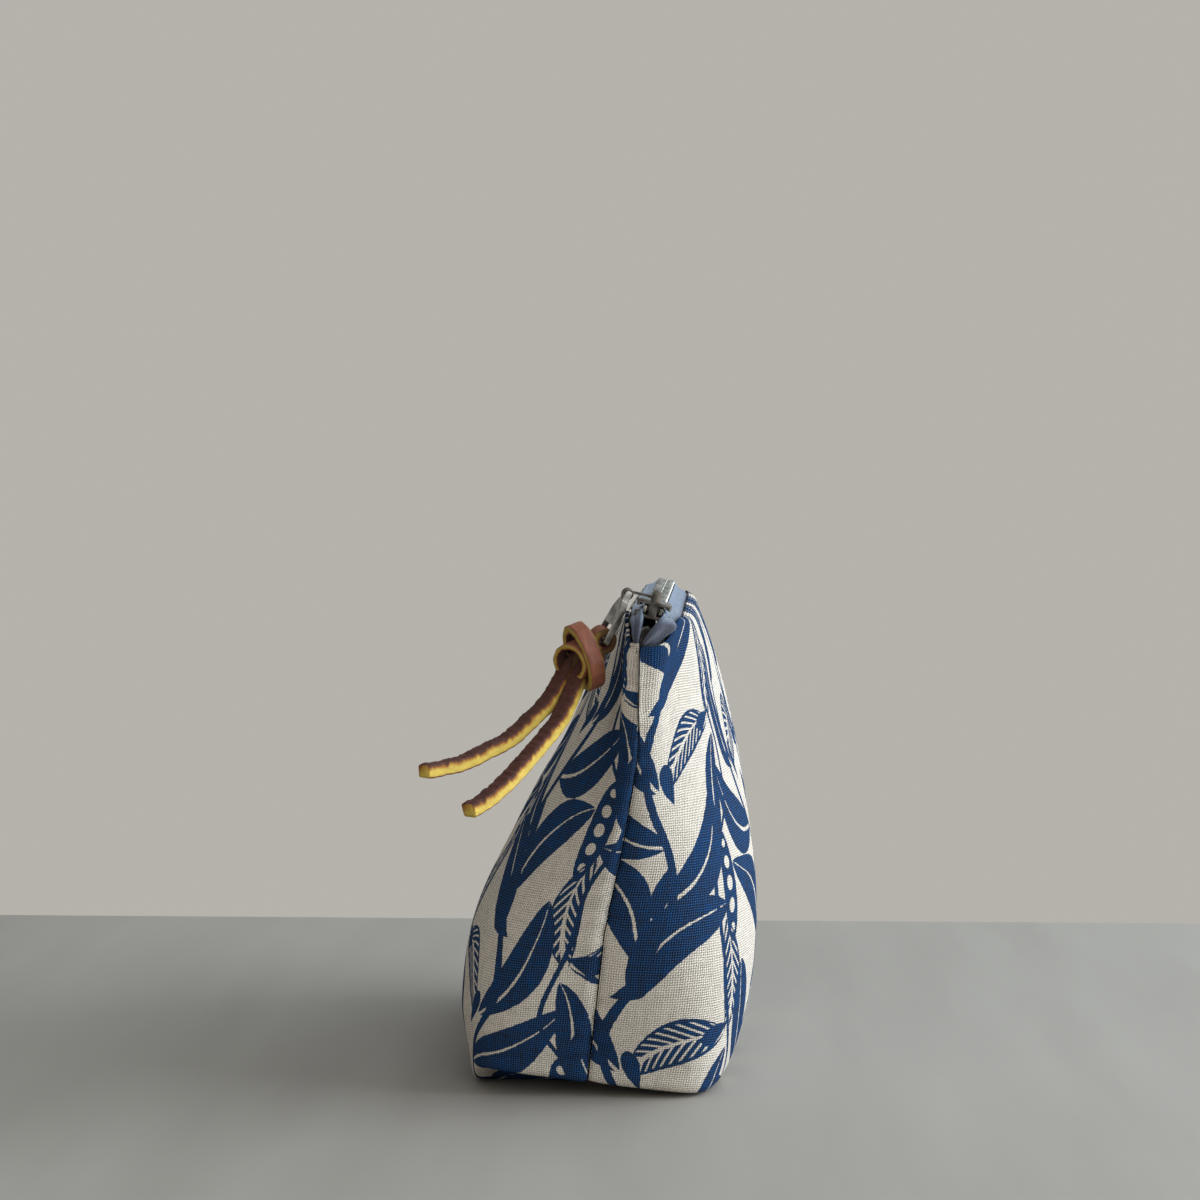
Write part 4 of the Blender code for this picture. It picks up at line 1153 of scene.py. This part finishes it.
class POUCH_OT_lace(PouchOperator, bpy.types.Operator):
    """Adds the knotted leather lace and its two tails"""
    bl_idname = "pouch.lace"
    bl_label = "Leather lace"

    def build(self, sizes, colours):
        # the knot's cut edges are darkened to 0.62 of the tails': painted shade
        materials = leather_materials(colours, "knot", False, 0.62)
        tail_materials = leather_materials(colours, "tail", True, 1.0)
        first, first_path = tail("first_tail", FIRST_TAIL, tail_materials)
        second, second_path = tail("second_tail", SECOND_TAIL, tail_materials)
        down = np.array((0.0, math.sin(PULL_SWING), -math.cos(PULL_SWING)))
        along_bar = (math.cos(PULL_TWIST), math.sin(PULL_TWIST) * math.cos(PULL_SWING),
                     math.sin(PULL_TWIST) * math.sin(PULL_SWING))
        # the small ring takes the tails' materials, whose edges darken over their first 17 mm: painted shade over the
        # whole ring
        knot = [hoop("lace_ring", PULL_CENTRE, down, RING_RADIUS, np.cross(along_bar, down), RING_RADIUS,
                     along_bar, RING_THICKNESS, tail_materials, 0.0),
                hoop("lace_turn", TURN_CENTRE, TURN_LONG_WAY, TURN_HALF_LENGTH - TURN_THICKNESS / 2,
                     np.cross(TURN_WIDTH_WAY, TURN_LONG_WAY), TURN_HALF_WIDTH - TURN_THICKNESS / 2,
                     TURN_WIDTH_WAY, TURN_THICKNESS, materials, 0.0007),
                hoop("lace_wrap", WRAP_CENTRE, TURN_LONG_WAY, WRAP_HALF_LENGTH,
                     np.cross(WRAP_WIDTH_WAY, TURN_LONG_WAY), WRAP_HALF_WIDTH,
                     WRAP_WIDTH_WAY, WRAP_THICKNESS, materials, 0.0)]
        for piece in knot:
            attach(piece, "pull", "leather_lace")
        for piece, path, others in ((first, first_path, knot), (second, second_path, ())):
            attach(piece, "pull", "leather_lace")


class POUCH_OT_panels(PouchOperator, bpy.types.Operator):
    """Adds the two printed linen panels"""
    bl_idname = "pouch.panels"
    bl_label = "Linen panels"

    def build(self, sizes, colours):
        for name, side, node, shift in (("front_linen", -1, "front_panel", 1.0),
                                        ("back_linen", 1, "back_panel", 3.6)):
            material = linen_material(name + "_print", colours, sizes, shift)
            piece = panel(name, side, 0.0, *PANEL_GRID, sizes.linen_thickness, material, sizes, True)
            attach(piece, "pouch", node)


class POUCH_OT_linings(PouchOperator, bpy.types.Operator):
    """Adds the two linings"""
    bl_idname = "pouch.linings"
    bl_label = "Linings"

    def build(self, sizes, colours):
        material = lining_material(colours)
        for name, side, node in (("front_cotton", -1, "front_lining"), ("back_cotton", 1, "back_lining")):
            piece = panel(name, side, LINING_DEPTH, *LINING_GRID, LINING_THICKNESS, material, sizes, False)
            attach(piece, "pouch", node)


class POUCH_OT_zip(PouchOperator, bpy.types.Operator):
    """Adds the zip's tapes and teeth, and finishes its stops"""
    bl_idname = "pouch.zip"
    bl_label = "Zip"

    def build(self, sizes, colours):
        cloth = tape_material(colours)
        metal = metal_material("tooth_metal")
        for name, side in (("front", -1), ("back", 1)):
            piece = zip_tape(name + "_zip_tape", side, sizes.tape_thickness, cloth)
            attach(piece, "pouch", name + "_tape")
            piece = teeth_row(name + "_zip_teeth", side, metal)
            attach(piece, "pouch", name + "_teeth")
        for node in ("front_top_stop", "back_top_stop", "bottom_stop"):
            piece = softened(node, "zip_" + node, metal, STOP_EDGE)
            attach(piece, "pouch", node)


class POUCH_OT_pull(PouchOperator, bpy.types.Operator):
    """Finishes the slider, its link and its pull"""
    bl_idname = "pouch.pull"
    bl_label = "Slider and pull"

    def build(self, sizes, colours):
        metal = metal_material("aged_metal")
        # painted light: the tab takes a lighter copy of the slider's metal
        painted_light_tab = metal_material("tab_painted_light_metal")
        for node, name, body, finish, shape in (("slider", "zip_slider", "slider", metal, None),
                                                ("pull_link", "zip_link", "link", metal, None),
                                                ("pull_tab", "zip_tab", "pull", painted_light_tab, twisted)):
            piece = softened(node, name, finish, METAL_EDGE, shape)
            attach(piece, body, node)


class POUCH_PT_panel(bpy.types.Panel):
    """The pouch's operators and settings"""
    bl_label = "Linen pouch"
    bl_idname = "POUCH_PT_panel"
    bl_space_type = "VIEW_3D"
    bl_region_type = "UI"
    bl_category = "Pouch"

    def draw(self, context):
        for operator in OPERATORS:
            self.layout.operator(operator.bl_idname)
        for group in (context.scene.pouch_sizes, context.scene.pouch_colours):
            for name in group.bl_rna.properties.keys():
                if name not in ("rna_type", "name"):
                    self.layout.prop(group, name)


OPERATORS = (POUCH_OT_stage, POUCH_OT_lace, POUCH_OT_panels, POUCH_OT_linings, POUCH_OT_zip, POUCH_OT_pull)
CLASSES = (PouchSizes, PouchColours, *OPERATORS, POUCH_PT_panel)


def register():
    for cls in CLASSES:
        bpy.utils.register_class(cls)
    bpy.types.Scene.pouch_sizes = bpy.props.PointerProperty(type=PouchSizes)
    bpy.types.Scene.pouch_colours = bpy.props.PointerProperty(type=PouchColours)


def unregister():
    del bpy.types.Scene.pouch_colours
    del bpy.types.Scene.pouch_sizes
    for cls in reversed(CLASSES):
        bpy.utils.unregister_class(cls)


def main():
    """Build every piece."""
    register()
    bpy.ops.pouch.stage()
    bpy.ops.pouch.lace()
    bpy.ops.pouch.panels()
    bpy.ops.pouch.linings()
    bpy.ops.pouch.zip()
    bpy.ops.pouch.pull()


if __name__ == "__main__":
    main()
